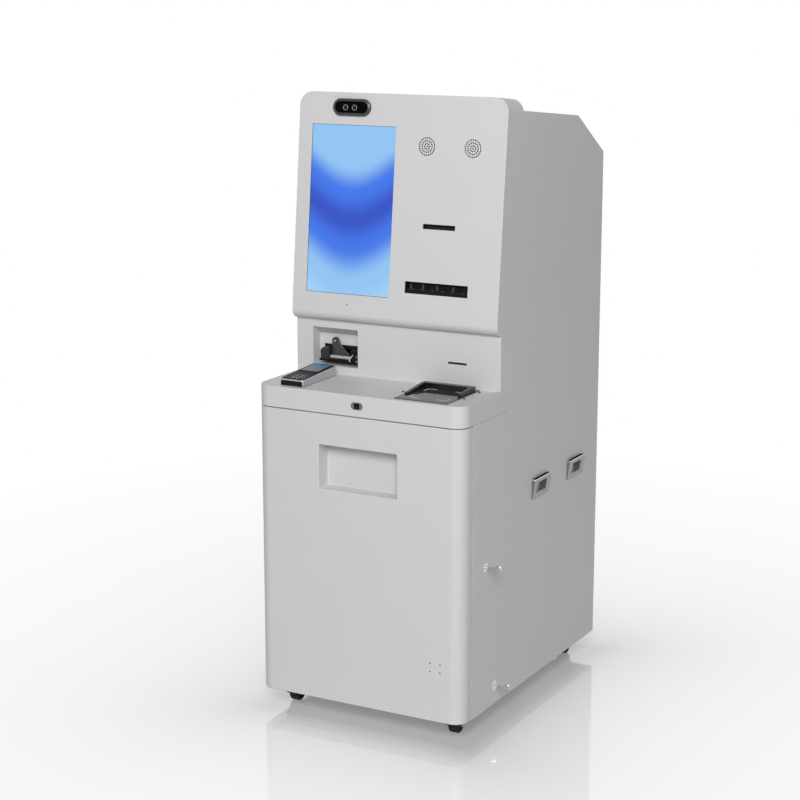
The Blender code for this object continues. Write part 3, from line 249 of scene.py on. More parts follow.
def pad_loop(points, inset):
    """A closed convex outline moved in by a distance, each point along the mean of its two edge normals."""
    before = points - np.roll(points, 1, 0)
    after = np.roll(points, -1, 0) - points
    before /= np.linalg.norm(before, axis=1)[:, None] + FINE**2
    after /= np.linalg.norm(after, axis=1)[:, None] + FINE**2
    normal = np.stack((-before[:, 1] - after[:, 1], before[:, 0] + after[:, 0]), -1)
    normal /= np.linalg.norm(normal, axis=1)[:, None]
    cosine = (-before[:, 1] * normal[:, 0] + before[:, 0] * normal[:, 1])[:, None]
    return points + normal * inset / np.maximum(cosine, 0.3)


def slab(outline, place, depth, edge=0.0005):
    """An anticlockwise outline carried from one depth to another, with its edges rounded."""
    insets, depths = round_ends(depth, edge)
    return loft([pad_loop(np.asarray(outline, float), i) for i in insets], depths, place)


def plate(outline, holes, place, depth=0.0):
    """Flat region inside an outline and outside its holes, as a constrained triangulation."""
    loops = [np.asarray(outline, float)] + [np.asarray(h, float) for h in holes]
    edges = []
    base = 0
    for loop in loops:
        index = base + np.arange(len(loop))
        edges += np.stack((index, np.roll(index, -1)), -1).tolist()
        base += len(loop)
    made = delaunay_2d_cdt(np.concatenate(loops).tolist(), edges, [], 1, 1e-7, False)
    flat = np.array([tuple(v) for v in made[0]])
    faces = np.array([list(f) for f in made[2]])
    centres = flat[faces].mean(1)
    kept = in_loop(centres, loops[0])
    for hole in loops[1:]:
        kept &= ~in_loop(centres, hole)
    return place(flat[:, 0], flat[:, 1], depth), faces[kept].tolist()


def in_loop(points, loop):
    """Whether points lie inside a closed loop: a ray to the right crosses an odd number of its edges."""
    a = loop[None]
    b = np.roll(loop, -1, 0)[None]
    x, y = points[:, :1], points[:, 1:]
    straddles = (a[..., 1] > y) != (b[..., 1] > y)
    rise = np.where(straddles, b[..., 1] - a[..., 1], 1.0)
    crossing = a[..., 0] + (y - a[..., 1]) * (b[..., 0] - a[..., 0]) / rise
    return (straddles & (x < crossing)).sum(1) % 2 == 1


def strip(path, first, last, place):
    """An open path of (a, b) carried from one depth to another."""
    path = np.asarray(path, float)
    ends = np.array((first, last))[:, None]
    return grid(place(path[:, 0], path[:, 1], ends))


def tube(path, radius, sides=10):
    """A round bar along a path: circles across the path's direction, kept from twisting, with flat ends."""
    path = np.asarray(path, float)
    way = np.gradient(path, axis=0)
    way /= np.linalg.norm(way, axis=1)[:, None]
    guide = Z if abs(way[:, 2]).max() < 0.9 else X
    across = np.cross(way, guide)
    across /= np.linalg.norm(across, axis=1)[:, None]
    up = np.cross(across, way)
    ring = circle(radius, sides)
    points = path[:, None] + ring[:, :1] * across[:, None] + ring[:, 1:] * up[:, None]
    points, faces = grid(points, wrap=True)
    last = (len(path) - 1) * sides
    return points, faces + [list(range(sides))[::-1], list(range(last, last + sides))]


# ---------------------------------------------------------------- pieces


def gather(parts):
    """One list of points and faces from several."""
    points = []
    faces = []
    base = 0
    for some, polygons in parts:
        points.append(some)
        faces += [[base + i for i in face] for face in polygons]
        base += len(some)
    return np.concatenate(points), faces


def bake(item):
    """Replace a piece's mesh by what its modifiers make of it."""
    bpy.context.view_layer.update()
    graph = bpy.context.evaluated_depsgraph_get()
    made = bpy.data.meshes.new_from_object(item.evaluated_get(graph))
    item.modifiers.clear()
    old = item.data
    item.data = made
    bpy.data.meshes.remove(old)


def bevel(item, width, segments):
    """Round every edge sharper than 30 degrees."""
    step = item.modifiers.new("round", "BEVEL")
    step.width = width
    step.segments = segments
    step.limit_method = "ANGLE"
    step.angle_limit = math.radians(30)
    step.use_clamp_overlap = True


def clean(mesh, inside=None, flatten=False):
    """Merge doubled points and turn faces out, away from a point inside an open sheet."""
    bm = bmesh.new()
    bm.from_mesh(mesh)
    bmesh.ops.remove_doubles(bm, verts=bm.verts, dist=FINE)
    if flatten:
        bmesh.ops.dissolve_limit(bm, angle_limit=math.radians(1), verts=bm.verts, edges=bm.edges)
    bmesh.ops.recalc_face_normals(bm, faces=bm.faces)
    if inside is not None:
        middle = np.array([f.calc_center_median() for f in bm.faces]) - np.asarray(inside)
        normal = np.array([f.normal * f.calc_area() for f in bm.faces])
        if (middle * normal).sum() < 0:
            bmesh.ops.reverse_faces(bm, faces=bm.faces)
    bm.to_mesh(mesh)
    bm.free()


def complete(item, body, finish, nodes):
    """Smooth shading with sharp edges, material, body, slot and the CAD nodes it stands for."""
    item.data.shade_smooth()
    item.data.set_sharp_from_angle(angle=math.radians(35))
    even = item.modifiers.new("even", "WEIGHTED_NORMAL")
    even.keep_sharp = True
    bake(item)
    item.data.materials.clear()
    item.data.materials.append(bpy.data.materials[finish])
    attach(item, body)
    if nodes:
        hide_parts(*nodes)
    return item


def insert(item, parts):
    """Add parts whose rims meet the piece point for point."""
    points, faces = gather(parts)
    bm = bmesh.new()
    bm.from_mesh(item.data)
    corners = [bm.verts.new(point) for point in points]
    for face in faces:
        bm.faces.new([corners[i] for i in face])
    bm.to_mesh(item.data)
    bm.free()


def piece(name, parts, body, finish, nodes=(), fold=0.0, wall=0.0, inside=None, fields=()):
    """Make one piece: join its parts, round the folds, add perforated fields and give a sheet its wall."""
    points, faces = gather(parts)
    mesh = bpy.data.meshes.new(name)
    mesh.from_pydata(points.tolist(), [], faces)
    item = bpy.data.objects.new(name, mesh)
    bpy.context.scene.collection.objects.link(item)
    clean(mesh, inside, bool(fold))
    if fold:
        bevel(item, fold, 4)
    if fields:
        bake(item)
        insert(item, fields)
        clean(item.data, inside)
    if wall:
        thick = item.modifiers.new("wall", "SOLIDIFY")
        thick.thickness = wall
        thick.offset = -1
        thick.use_even_offset = True
    if fold or wall:
        bake(item)
    return complete(item, body, finish, nodes)


def softened(node, width, finish, segments=2):
    """A finished copy of a CAD solid: doubles merged, flat faces joined and edges rounded."""
    source = frame["nodes"][node]
    mesh = source.data.copy()
    item = bpy.data.objects.new(node + "_finished", mesh)
    bpy.context.scene.collection.objects.link(item)
    bm = bmesh.new()
    bm.from_mesh(mesh)
    bmesh.ops.remove_doubles(bm, verts=bm.verts, dist=FINE)
    bmesh.ops.dissolve_limit(bm, angle_limit=math.radians(1), verts=bm.verts, edges=bm.edges)
    bm.to_mesh(mesh)
    bm.free()
    for attribute in [a.name for a in mesh.attributes if a.name == "custom_normal"]:
        mesh.attributes.remove(mesh.attributes[attribute])
    bevel(item, width, segments)
    bake(item)
    return complete(item, source["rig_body"], finish, (node,))


def body_of(node):
    """Name of the body that a CAD node rides on."""
    return frame["nodes"][node]["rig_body"]


# ---------------------------------------------------------------- finishes


def nodes_of(name):
    """A new material's node tree and its Principled shader."""
    made = bpy.data.materials.new(name)
    made.use_nodes = True
    return made.node_tree, made.node_tree.nodes["Principled BSDF"]


def link(tree, source, output, target, socket):
    """Link one node's named output to another node's named input."""
    tree.links.new(source.outputs[output], target.inputs[socket])


def noise(tree, scale, detail, stretch=(1, 1, 1)):
    """Noise on the machine's own coordinates, stretched along an axis for a brushed grain."""
    coordinates = tree.nodes.new("ShaderNodeTexCoord")
    mapping = tree.nodes.new("ShaderNodeMapping")
    mapping.inputs["Scale"].default_value = stretch
    texture = tree.nodes.new("ShaderNodeTexNoise")
    texture.inputs["Scale"].default_value = scale
    texture.inputs["Detail"].default_value = detail
    link(tree, coordinates, "Object", mapping, "Vector")
    link(tree, mapping, "Vector", texture, "Vector")
    return texture


# Noise scale of the slow drift in every finish.
SLOW_DRIFT = 7.0


def grained(name, colour, roughness, metal=0.0, grain=900.0, relief=0.00003, mottle=0.03, shine=0.5, brush=1):
    """Principled finish: a fine grain in its relief and a slow drift in its colour and roughness."""
    tree, shader = nodes_of(name)
    shader.inputs["Metallic"].default_value = metal
    shader.inputs["Specular IOR Level"].default_value = shine
    fine = noise(tree, grain, 3.0, (1, 1, brush))
    bump = tree.nodes.new("ShaderNodeBump")
    bump.inputs["Strength"].default_value = 1.0
    bump.inputs["Distance"].default_value = relief
    link(tree, fine, "Fac", bump, "Height")
    link(tree, bump, "Normal", shader, "Normal")
    slow = noise(tree, SLOW_DRIFT, 3.0)
    mix = tree.nodes.new("ShaderNodeMix")
    mix.data_type = "RGBA"
    for socket, factor in ((6, 1 - mottle), (7, 1 + mottle)):
        mix.inputs[socket].default_value = (*[min(c * factor, 1.0) for c in colour], 1)
    tree.links.new(slow.outputs["Fac"], mix.inputs[0])
    tree.links.new(mix.outputs[2], shader.inputs["Base Color"])
    spread = tree.nodes.new("ShaderNodeMapRange")
    spread.inputs["To Min"].default_value = roughness * 0.85
    spread.inputs["To Max"].default_value = roughness * 1.15
    link(tree, slow, "Fac", spread, "Value")
    link(tree, spread, "Result", shader, "Roughness")


def lit_picture(name, place, size, stops, glow=1.0):
    """A plain lit panel: bands of blue that follow height plus a third of the width and a slow wave. On the
    terminal its grey bands are a painted reflection of the white surroundings.
    """
    tree, shader = nodes_of(name)
    shader.inputs["Base Color"].default_value = (0.0, 0.0, 0.0, 1)
    shader.inputs["Roughness"].default_value = 0.3
    shader.inputs["Emission Strength"].default_value = glow
    coordinates = tree.nodes.new("ShaderNodeTexCoord")
    mapping = tree.nodes.new("ShaderNodeMapping")
    mapping.inputs["Rotation"].default_value = Matrix(place.ways.tolist()).to_euler()
    mapping.inputs["Location"].default_value = -(place.ways @ place.origin)
    split = tree.nodes.new("ShaderNodeSeparateXYZ")
    link(tree, coordinates, "Object", mapping, "Vector")
    link(tree, mapping, "Vector", split, "Vector")
    wave = math_node(tree, "SINE", math_node(tree, "MULTIPLY", split.outputs["X"], math.pi / size[0]))
    rise = math_node(tree, "DIVIDE", split.outputs["Y"], size[1])
    lean = math_node(tree, "MULTIPLY", wave, 0.14)
    height = math_node(tree, "ADD", rise, lean)
    ramp = tree.nodes.new("ShaderNodeValToRGB")
    ramp.color_ramp.interpolation = "EASE"
    elements = ramp.color_ramp.elements
    while len(elements) < len(stops):
        elements.new(0.5)
    for element, (position, colour) in zip(elements, stops):
        element.position = position
        element.color = (*colour, 1)
    tree.links.new(height, ramp.inputs["Fac"])
    link(tree, ramp, "Color", shader, "Emission Color")


def math_node(tree, operation, first, second=0.0):
    """One Math node; a number sets its second value and a socket is linked."""
    node = tree.nodes.new("ShaderNodeMath")
    node.operation = operation
    tree.links.new(first, node.inputs[0])
    if isinstance(second, float):
        node.inputs[1].default_value = second
    else:
        tree.links.new(second, node.inputs[1])
    return node.outputs[0]


SKY = (0.27, 0.55, 0.90)
PALE = (0.36, 0.64, 0.93)
VIVID = (0.025, 0.16, 0.82)
DEEP = (0.008, 0.06, 0.55)
# Grey of the terminal's screen, a painted reflection of the white surroundings.
PAINTED_REFLECTION_GREY = (0.12, 0.13, 0.145)


def finishes(colours):
    """Every finish on the machine."""
    grained("powder_coat", colours.paint, 0.42, grain=800.0, relief=0.000022, mottle=0.012)
    grained("frame_coat", (0.10, 0.10, 0.11), 0.5, grain=900.0, relief=0.00003)
    grained("case_coat", (0.16, 0.16, 0.17), 0.55, grain=700.0, relief=0.00003)
    grained("satin_steel", (0.27, 0.27, 0.28), 0.36, 0.9, grain=500.0, relief=0.00001, brush=12)
    grained("polished_steel", (0.90, 0.90, 0.91), 0.16, 1.0, grain=300.0, relief=0.000003)
    grained("nickel", (0.66, 0.65, 0.63), 0.22, 1.0, grain=600.0, relief=0.000005)
    grained("zinc_plate", (0.52, 0.53, 0.54), 0.34, 1.0, grain=400.0, relief=0.00001, mottle=0.08)
    grained("black_grain", (0.008, 0.008, 0.009), 0.45, grain=1800.0, relief=0.00003, mottle=0.15, shine=0.12)
    grained("dark_grain", (0.030, 0.030, 0.032), 0.45, grain=1800.0, relief=0.00003, mottle=0.10, shine=0.2)
    grained("satin_silver", (0.44, 0.44, 0.45), 0.34, 0.35, grain=1200.0, relief=0.00001)
    grained("soft_key", (0.022, 0.022, 0.024), 0.5, grain=2200.0, relief=0.00002, shine=0.25)
    grained("key_mark", (0.75, 0.75, 0.74), 0.5, grain=2200.0, relief=0.00001)
    grained("hard_rubber", (0.016, 0.016, 0.016), 0.72, grain=1500.0, relief=0.00006, mottle=0.2, shine=0.25)
    grained("gloss_black", (0.001, 0.001, 0.0015), 0.08, grain=60.0, relief=0.000002, shine=0.03)
    grained("gloss_grey", (0.045, 0.045, 0.048), 0.22, grain=1500.0, relief=0.000006, shine=0.3)
    grained("camera_shell", (0.040, 0.040, 0.044), 0.33, grain=1500.0, relief=0.00001, shine=0.35)
    grained("sensor_shell", (0.13, 0.133, 0.142), 0.35, grain=1500.0, relief=0.00001)
    grained("key_green", (0.02, 0.36, 0.06), 0.5, grain=2200.0, relief=0.00001)
    grained("key_red", (0.55, 0.03, 0.02), 0.5, grain=2200.0, relief=0.00001)
    grained("scanner_glass", (0.030, 0.030, 0.032), 0.04, grain=60.0, relief=0.000001, shine=0.75)
    grained("hood_gloss", (0.004, 0.004, 0.0045), 0.20, grain=60.0, relief=0.000002, shine=0.5)
    grained("corner_mark", (0.86, 0.86, 0.85), 0.5, grain=2200.0, relief=0.00001)
    grained("lens_black", (0.001, 0.001, 0.003), 0.06, grain=60.0, relief=0.000001, shine=0.15)
    # Blue of the painted highlight in the middle of each camera lens.
    grained("lens_painted_blue_glint", (0.010, 0.022, 0.13), 0.10, grain=60.0, relief=0.000001, shine=0.2)
    grained("thermal_paper", (0.80, 0.80, 0.78), 0.8, grain=1500.0, relief=0.00002)
    grained("speaker_paper", (0.006, 0.006, 0.006), 0.85, grain=1200.0, relief=0.0001, shine=0.05)
    low, high = HEAD.span("display_glass")
    size = (high - low)[:2]
    bands = [(0.0, PALE), (0.22, SKY), (0.42, VIVID), (0.58, DEEP), (0.74, VIVID), (0.90, SKY)]
    lit_picture("screen_picture", HEAD.at(low[0], low[1]), size, bands, 0.95)
    top = terminal_place()
    # The terminal's screen glows grey over most of it, a painted reflection of the white surroundings, and
    # blue towards its rear.
    glow = [(0.0, PAINTED_REFLECTION_GREY), (0.60, PAINTED_REFLECTION_GREY), (0.88, (0.03, 0.17, 0.50)), (1.0, (0.03, 0.06, 0.14))]
    lit_picture("terminal_picture_and_painted_reflection", top.at(-0.03, 0.08), (0.06, 0.09), glow, 0.8)


# ---------------------------------------------------------------- cabinet


def profile(depth, s):
    """(y from the front, z) of a point behind the head's face and up its slope."""
    point = HEAD(0.0, s, -depth)
    return np.array((point[1] - FRONT_Y, point[2]))


def corner_turns(radius):
    """Angles over the head's corner, one of them at the height where the rear strip begins."""
    rise = (STRIP - HEAD_TOP + radius) / radius
    return np.unique(np.append(np.linspace(0, 90, 13), math.degrees(math.asin(rise))))


def head_path(radius):
    """Open path over the head's top: up the right corner's arc, across and down the left corner's."""
    turn = np.radians(corner_turns(radius))
    x = HALF - radius + radius * np.cos(turn)
    s = HEAD_TOP - radius + radius * np.sin(turn)
    right = np.stack((x, s), -1)
    return np.concatenate((right, right[::-1] * (-1, 1)))


def perforated(sizes, centre):
    """A round field with a centre hole and three rings of small holes, evenly spread around each ring."""
    holes = [circle(sizes.hole / 2, 10, centre)]
    for ring, count in ((1, 8), (2, 16), (3, 24)):
        radius = sizes.ring_pitch * ring
        for i in range(count):
            turn = 2 * math.pi * i / count
            at = (centre[0] + radius * math.cos(turn), centre[1] + radius * math.sin(turn))
            holes.append(circle(sizes.hole / 2, 10, at))
    return plate(circle(FIELD_R, 48, centre), holes, HEAD)


def opening(place, node, size, corner=0.0006):
    """A hole with round corners over the middle of the module behind it."""
    return rounded(*size, corner, 2, place.middle(node)[:2])


def extent(place, node):
    """Width and height of a CAD node seen from a place."""
    low, high = place.span(node)
    return (high - low)[:2]


def head_holes():
    """Every opening in the head's face, each from the module behind it."""
    holes = [
        opening(HEAD, "display_glass", extent(HEAD, "display_glass") - 2 * SCREEN_LAP),
        opening(HEAD, "camera_housing", CAMERA_HOLE, 0.002),
        opening(HEAD, "receipt_printer", RECEIPT_HOLE),
        opening(HEAD, "note_outlet", extent(HEAD, "note_outlet") - 2 * OUTLET_LAP, 0.0012),
        circle(MICROPHONE["r"], 12, (MICROPHONE["x"], MICROPHONE["s"])),
    ]
    for node in SPEAKERS:
        holes.append(circle(FIELD_R, 48, HEAD.middle(node)[:2]))
    return holes


def shell_parts(sizes):
    """Patches of the head, chin, middle panel, deck and lip, meeting point for point."""
    lip, top, chin = sizes.lip_radius, sizes.head_radius, sizes.chin_radius
    centre = profile(chin, 0.0)
    tilt = math.degrees(TILT)
    under = centre[1] - chin
    chin_arc = arc(centre, chin, 180 - tilt, 270, 10)
    reach = (LIP_Z - HEAD.origin[2] + HEAD_BACK * math.sin(TILT)) / math.cos(TILT)
    cheek = [(lip, LIP_Z), profile(HEAD_BACK, reach), profile(HEAD_BACK, HEAD_TOP - top)]
    cheek += [profile(0.0, HEAD_TOP - top), *chin_arc, (MID_Y, under), (MID_Y, DECK_Z), (lip, DECK_Z)]
    path = head_path(top)
    face = np.concatenate(([(-HALF, 0.0), (HALF, 0.0)], path))
    back = path[path[:, 1] > STRIP - FINE]
    flat = HALF - lip
    right = arc((flat, lip), lip, -90, 0, 12)
    left = arc((-flat, lip), lip, 180, 270, 12)
    deck = np.concatenate((left, right, [(HALF, MID_Y), (-HALF, MID_Y)]))
    bed = opening(CABINET, "document_scanner", extent(CABINET, "document_scanner") - 2 * SCANNER_LAP, 0.002)
    niche = opening(MID, "niche_box", extent(MID, "niche_box") - 2 * SHEET, 0.0005)
    card = opening(MID, "card_reader", CARD_HOLE, 0.0008)
    sensor = opening(FACE, "presence_sensor", SENSOR_HOLE, 0.001)
    lip_face = [(-flat, LIP_Z), (flat, LIP_Z), (flat, DECK_Z), (-flat, DECK_Z)]
    mid_face = [(-HALF, DECK_Z), (HALF, DECK_Z), (HALF, under), (-HALF, under)]
    chin_face = [(-HALF, centre[0]), (HALF, centre[0]), (HALF, MID_Y), (-HALF, MID_Y)]
    parts = [
        plate(cheek, [], RIGHT_SIDE),
        plate(cheek, [], LEFT_SIDE),
        plate(lip_face, [sensor], FACE),
        strip(right, LIP_Z, DECK_Z, CABINET),
        strip(left, LIP_Z, DECK_Z, CABINET),
        plate(deck, [bed], CABINET, DECK_Z),
        plate(mid_face, [niche, card], MID),
        plate(chin_face, [], CABINET, under),
        strip(chin_arc, -HALF, HALF, Place(CABINET.origin, Y, Z, X)),
        plate(face, head_holes(), HEAD),
        strip(path, 0.0, -HEAD_BACK, HEAD),
        plate(back, [], HEAD, -HEAD_BACK),
    ]
    return parts


def door_parts(sizes):
    """Patches of the door's pan: front, round corners, flanges, ends, return and pocket."""
    lip = sizes.lip_radius
    low = CABINET.span("front_door")[0][2]
    high = CABINET.span("front_door")[1][2]
    back = RIGHT_SIDE.span("right_side_panel")[0][0] - SHEET
    flat = HALF - lip
    right = arc((flat, lip), lip, -90, 0, 12)
    left = arc((-flat, lip), lip, 180, 270, 12)
    plan = np.concatenate((left, right, [(HALF, back), (-HALF, back)]))
    front = [(-flat, low), (flat, low), (flat, high), (-flat, high)]
    pocket = rounded(sizes.pocket_width, sizes.pocket_height, 0.003, 4, (0.0, sizes.pocket_z))
    holes = [pocket]
    for x in DOOR_HOLES["x"]:
        for z in DOOR_HOLES["z"]:
            holes.append(circle(DOOR_HOLES["r"], 12, (x, z)))
    flange = [(lip, low), (back, low), (back, high), (lip, high)]
    edge = HALF - sizes.door_return
    rear = [(-HALF, low), (HALF, low), (HALF, high), (-HALF, high)]
    mouth = rounded(2 * edge, high - low - 2 * sizes.door_return, 0.002, 2, (0.0, (low + high) / 2))
    bore = circle(HINGE_BORE_R, 12, HINGE)
    return [
        plate(front, holes, FACE),
        strip(right, low, high, CABINET),
        strip(left, low, high, CABINET),
        plate(flange, [], RIGHT_SIDE),
        plate(flange, [], LEFT_SIDE),
        plate(plan, [bore], CABINET, low),
        plate(plan, [bore], CABINET, high),
        plate(rear, [mouth], FACE, -back),
        loft([pocket, pocket], (0.0, -sizes.pocket_depth), FACE, (False, True)),
    ]


def catch_parts(node):
    """Bent arm and tab behind the door's return for one lock's blade."""
    y, z = RIGHT_SIDE.middle(node)[:2]
    inner = CABINET.span(node)[0][0]
    back = RIGHT_SIDE.span("right_side_panel")[0][0] - SHEET
    arm_x = inner - 0.009
    tab_y = y + 0.007
    height = 0.020
    middle = z + 0.023
    side = Place(CABINET(arm_x, 0, 0), Y, Z, -X)
    arm = block(side.at((back + tab_y) / 2, middle), (tab_y - back, height), (0, 0.0025), 0.002)
    tab = block(FACE.at(arm_x + 0.0045, middle, -tab_y), (0.013, height), (-0.0025, 0.0), 0.002)
    return [arm, tab]


# ---------------------------------------------------------------- handles, locks, casters


# A lift handle's cup as (width, height) of its loops; edge and roll round the rim over into the cup.
CUP = {"back": (0.069, 0.039), "rim": (0.0664, 0.0364), "mouth": (0.064, 0.034), "floor": (0.060, 0.030)}
CUP.update(edge=0.0012, roll=0.12)


def lift_frame(place, low, high, sizes):
    """Wedge frame with a finger cup: its face leans out from foot to top, and the loops turn into the cup."""
    middle = (low + high) / 2
    width, height = (high - low)[:2]
    foot, stand = sizes.handle_foot, sizes.handle_stand

    def leaning(a, b, c):
        """Depth c from 0 to 1 is a share of the wedge's thickness at that height; below 0 it is metres."""
        thick = foot + (stand - foot) * (np.asarray(b) / height + 0.5)
        return place.at(*middle[:2])(a, b, np.where(np.asarray(c) > 0, c * thick, c))

    def loop(size, inset=0.0):
        """A round-cornered loop of a size, moved in."""
        return rounded(size[0] - 2 * inset, size[1] - 2 * inset, 0.004)

    cup = sizes.cup_depth
    loops = [loop(CUP["back"]), loop(CUP["back"]), loop((width, height))]
    depths = [-cup - 0.0015, 0.0, 0.0]
    turn = np.linspace(0, math.pi / 2, 4)
    for angle in turn:
        loops.append(loop((width, height), CUP["edge"] * (1 - math.cos(angle))))
        depths.append(1 - CUP["roll"] * (1 - math.sin(angle)))
    for angle in turn:
        loops.append(loop(CUP["rim"], CUP["edge"] * math.sin(angle)))
        depths.append(1 - CUP["roll"] * (1 - math.cos(angle)))
    loops += [loop(CUP["mouth"]), loop(CUP["mouth"]), loop(CUP["floor"])]
    depths += [0.0, -cup + 0.002, -cup]
    return loft(loops, depths, leaning)


def key_parts(node, place, reach):
    """Plug, shank and a round flat bow with a hole, standing out of the lock."""
    y, z = place.middle(node)[:2]
    at = place.at(y, z)
    plug = lathe([(0, -0.004), (0.0046, -0.004), (0.0050, 0.0022), (0.0046, 0.0028), (0, 0.0028)], at, 24)
    _, up, out = at.ways
    flat = Place(at.origin, out, up, np.cross(out, up))
    outline = [(0.002, -0.004), (reach - 0.016, -0.004), (reach - 0.016, 0.004), (0.002, 0.004)]
    shank = slab(outline, flat, (-0.001, 0.001), 0.0003)
    centre = (reach - 0.011, 0.0)
    ring = [(0.0030, -0.0011), (0.0104, -0.0011), (0.0109, -0.0007), (0.0109, 0.0007)]
    ring += [(0.0104, 0.0011), (0.0030, 0.0011), (0.0030, -0.0011)]
    bow = lathe(ring, flat.at(*centre), 36, (False, False))
    return [plug, shank, bow]


def blade_parts(node):
    """The key's turning blade inside the cabinet, behind the barrel."""
    x = CABINET.span(node)[0][0]
    y, z = RIGHT_SIDE.middle(node.replace("key", "lock"))[:2]
    side = Place(CABINET(x, 0, 0), Y, Z, X)
    outline = np.concatenate((arc((y, z), 0.006, -90, 90, 8), arc((y - 0.024, z), 0.006, 90, 270, 8)))
    blade = slab(outline, side, (0, 0.003))
    nut = lathe([(0, -0.0005), (0.0045, -0.0005), (0.0045, 0.0), (0, 0.0)], side.at(y, z), 6)
    stem = lathe([(0, 0.0), (0.0050, 0.0), (0.0050, 0.030), (0, 0.030)], side.at(y, z), 24)
    return [blade, nut, stem]


def wheel_profile(radius, half):
    """Half section of a wheel: hub, web and a tyre with round shoulders, as (radius, across)."""
    shoulder = 0.004
    outer = arc((half - shoulder, radius - shoulder), shoulder, 0, 90, 6)[:, ::-1]
    right = [(0.0044, half - 0.001), (0.0090, half - 0.001), (0.0095, half - 0.0035), (0.0155, half - 0.0035)]
    right += [(0.0160, half), (radius - shoulder, half)]
    right = np.concatenate((right, outer))
    return np.concatenate((right * (1, -1), right[::-1], right[:1] * (1, -1)))


# ---------------------------------------------------------------- sizes and colours


def metres(name, description, default):
    """A size in metres that a user can change."""
    return FloatProperty(name=name, description=description, default=default, unit="LENGTH")


def tint(name, description, default):
    """A colour that a user can change."""
    return FloatVectorProperty(name=name, description=description, default=default, subtype="COLOR")


class CashMachineSizes(bpy.types.PropertyGroup):
    """Sizes of the machine's finish that the frame leaves open."""

    lip_radius: metres("Lip radius", "Round corners of the deck's lip and the door", 0.040)
    head_radius: metres("Head radius", "Two upper corners of the head", 0.040)
    chin_radius: metres("Chin radius", "Roll under the head's face", 0.025)
    fold: metres("Fold radius", "Outer radius of a folded edge", 0.0026)
    sheet: metres("Sheet", "Thickness of the sheet metal", SHEET)
    hole: metres("Speaker hole", "Diameter of one speaker hole", 0.0047)
    ring_pitch: metres("Ring pitch", "Distance between rings of speaker holes", 0.0079)
    pocket_width: metres("Pocket width", "Width of the door's pocket", 0.248)
    pocket_height: metres("Pocket height", "Height of the door's pocket", 0.126)
    pocket_depth: metres("Pocket depth", "Depth of the door's pocket", 0.050)
    pocket_z: metres("Pocket middle", "Height of the pocket's middle", 0.748)
    door_return: metres("Door return", "Width of the door's inner return", 0.034)
    handle_stand: metres("Handle stand", "How far a lift handle's lip stands out", 0.012)
    handle_foot: metres("Handle foot", "How far a lift handle's foot stands out", 0.003)
    cup_depth: metres("Cup depth", "Depth of a lift handle's cup", 0.018)
    key_reach: metres("Key reach", "How far a key stands out", 0.050)
    floor: metres("Floor", "Radius of the studio floor", 14.0)


class CashMachineColours(bpy.types.PropertyGroup):
    """Colours that a user would change."""

    paint: tint("Paint", "Powder coat of the cabinet", (0.60, 0.60, 0.605))
    floor: tint("Floor", "Studio floor", (0.66, 0.66, 0.66))


def sizes():
    """The sizes set in this scene."""
    return bpy.context.scene.cash_machine_sizes


# ---------------------------------------------------------------- operators


class MakeFinishes(bpy.types.Operator):
    """Make every material of the machine"""

    bl_idname = "cash_machine.finishes"
    bl_label = "Finishes"

    def execute(self, context):
        finishes(context.scene.cash_machine_colours)
        return {"FINISHED"}


class MakeFrontShell(bpy.types.Operator):
    """Make the folded head, middle panel and deck with every opening"""

    bl_idname = "cash_machine.front_shell"
    bl_label = "Front shell"

    def execute(self, context):
        s = sizes()
        inside = CABINET(0.0, 0.3, 1.2)
        piece(
            "head_and_deck",
            shell_parts(s),
            "cabinet",
            "powder_coat",
            ("front_shell",),
            fold=s.fold,
            wall=s.sheet,
            inside=inside,
            fields=[perforated(s, HEAD.middle(node)[:2]) for node in SPEAKERS],
        )
        return {"FINISHED"}


class MakeFrontDoor(bpy.types.Operator):
    """Make the door's pan with its pocket and catches"""

    bl_idname = "cash_machine.front_door"
    bl_label = "Front door"

    def execute(self, context):
        s = sizes()
        body = body_of("front_door")
        piece(
            "door_pan",
            door_parts(s),
            body,
            "powder_coat",
            ("front_door",),
            fold=s.fold,
            wall=s.sheet,
            inside=CABINET(0.0, 0.03, 0.3),
        )
        parts = catch_parts("upper_lock") + catch_parts("lower_lock")
        piece("door_catches", parts, body, "zinc_plate")
        return {"FINISHED"}


class MakePanels(bpy.types.Operator):
    """Finish the side panels, rear cover, rear door, frame and hinges"""

    bl_idname = "cash_machine.panels"
    bl_label = "Panels and frame"

    def execute(self, context):
        for node in ("left_side_panel", "right_side_panel", "rear_cover", "rear_door", "niche_box"):
            softened(node, 0.0006, "powder_coat")
        softened("chassis", 0.0015, "frame_coat", segments=3)
        for node in ("upper_door_hinge", "lower_door_hinge"):
            softened(node, 0.0005, "zinc_plate")
        return {"FINISHED"}


class MakeLiftHandles(bpy.types.Operator):
    """Make the four lift handles with their bright lips"""

    bl_idname = "cash_machine.lift_handles"
    bl_label = "Lift handles"

    def execute(self, context):
        s = sizes()
        for side, place in (("left", LEFT_SIDE), ("right", RIGHT_SIDE)):
            for end in ("front", "rear"):
                node = f"{side}_{end}_lift_handle"
                low, high = place.span(node)
                parts = [lift_frame(place, low, high, s)]
                piece(node + "_frame", parts, "cabinet", "satin_steel", (node,))
                middle = (low + high) / 2
                top = Place(place(middle[0], high[1], 0.0), place.ways[0], place.ways[2], Z)
                reach = high[2]
                size = (high[0] - low[0] - 0.0004, reach)
                lip = block(top.at(0, reach / 2), size, (-0.0016, 0.0), 0.0025, 0.0006)
                piece(node + "_lip", [lip], "cabinet", "polished_steel")
                sill = place.at(middle[0], middle[1] - 0.0165)
                bead = block(sill, (0.060, 0.0014), (-0.016, 0.0028), 0.0006, 0.0003)
                piece(node + "_sill", [bead], "cabinet", "polished_steel")
        return {"FINISHED"}


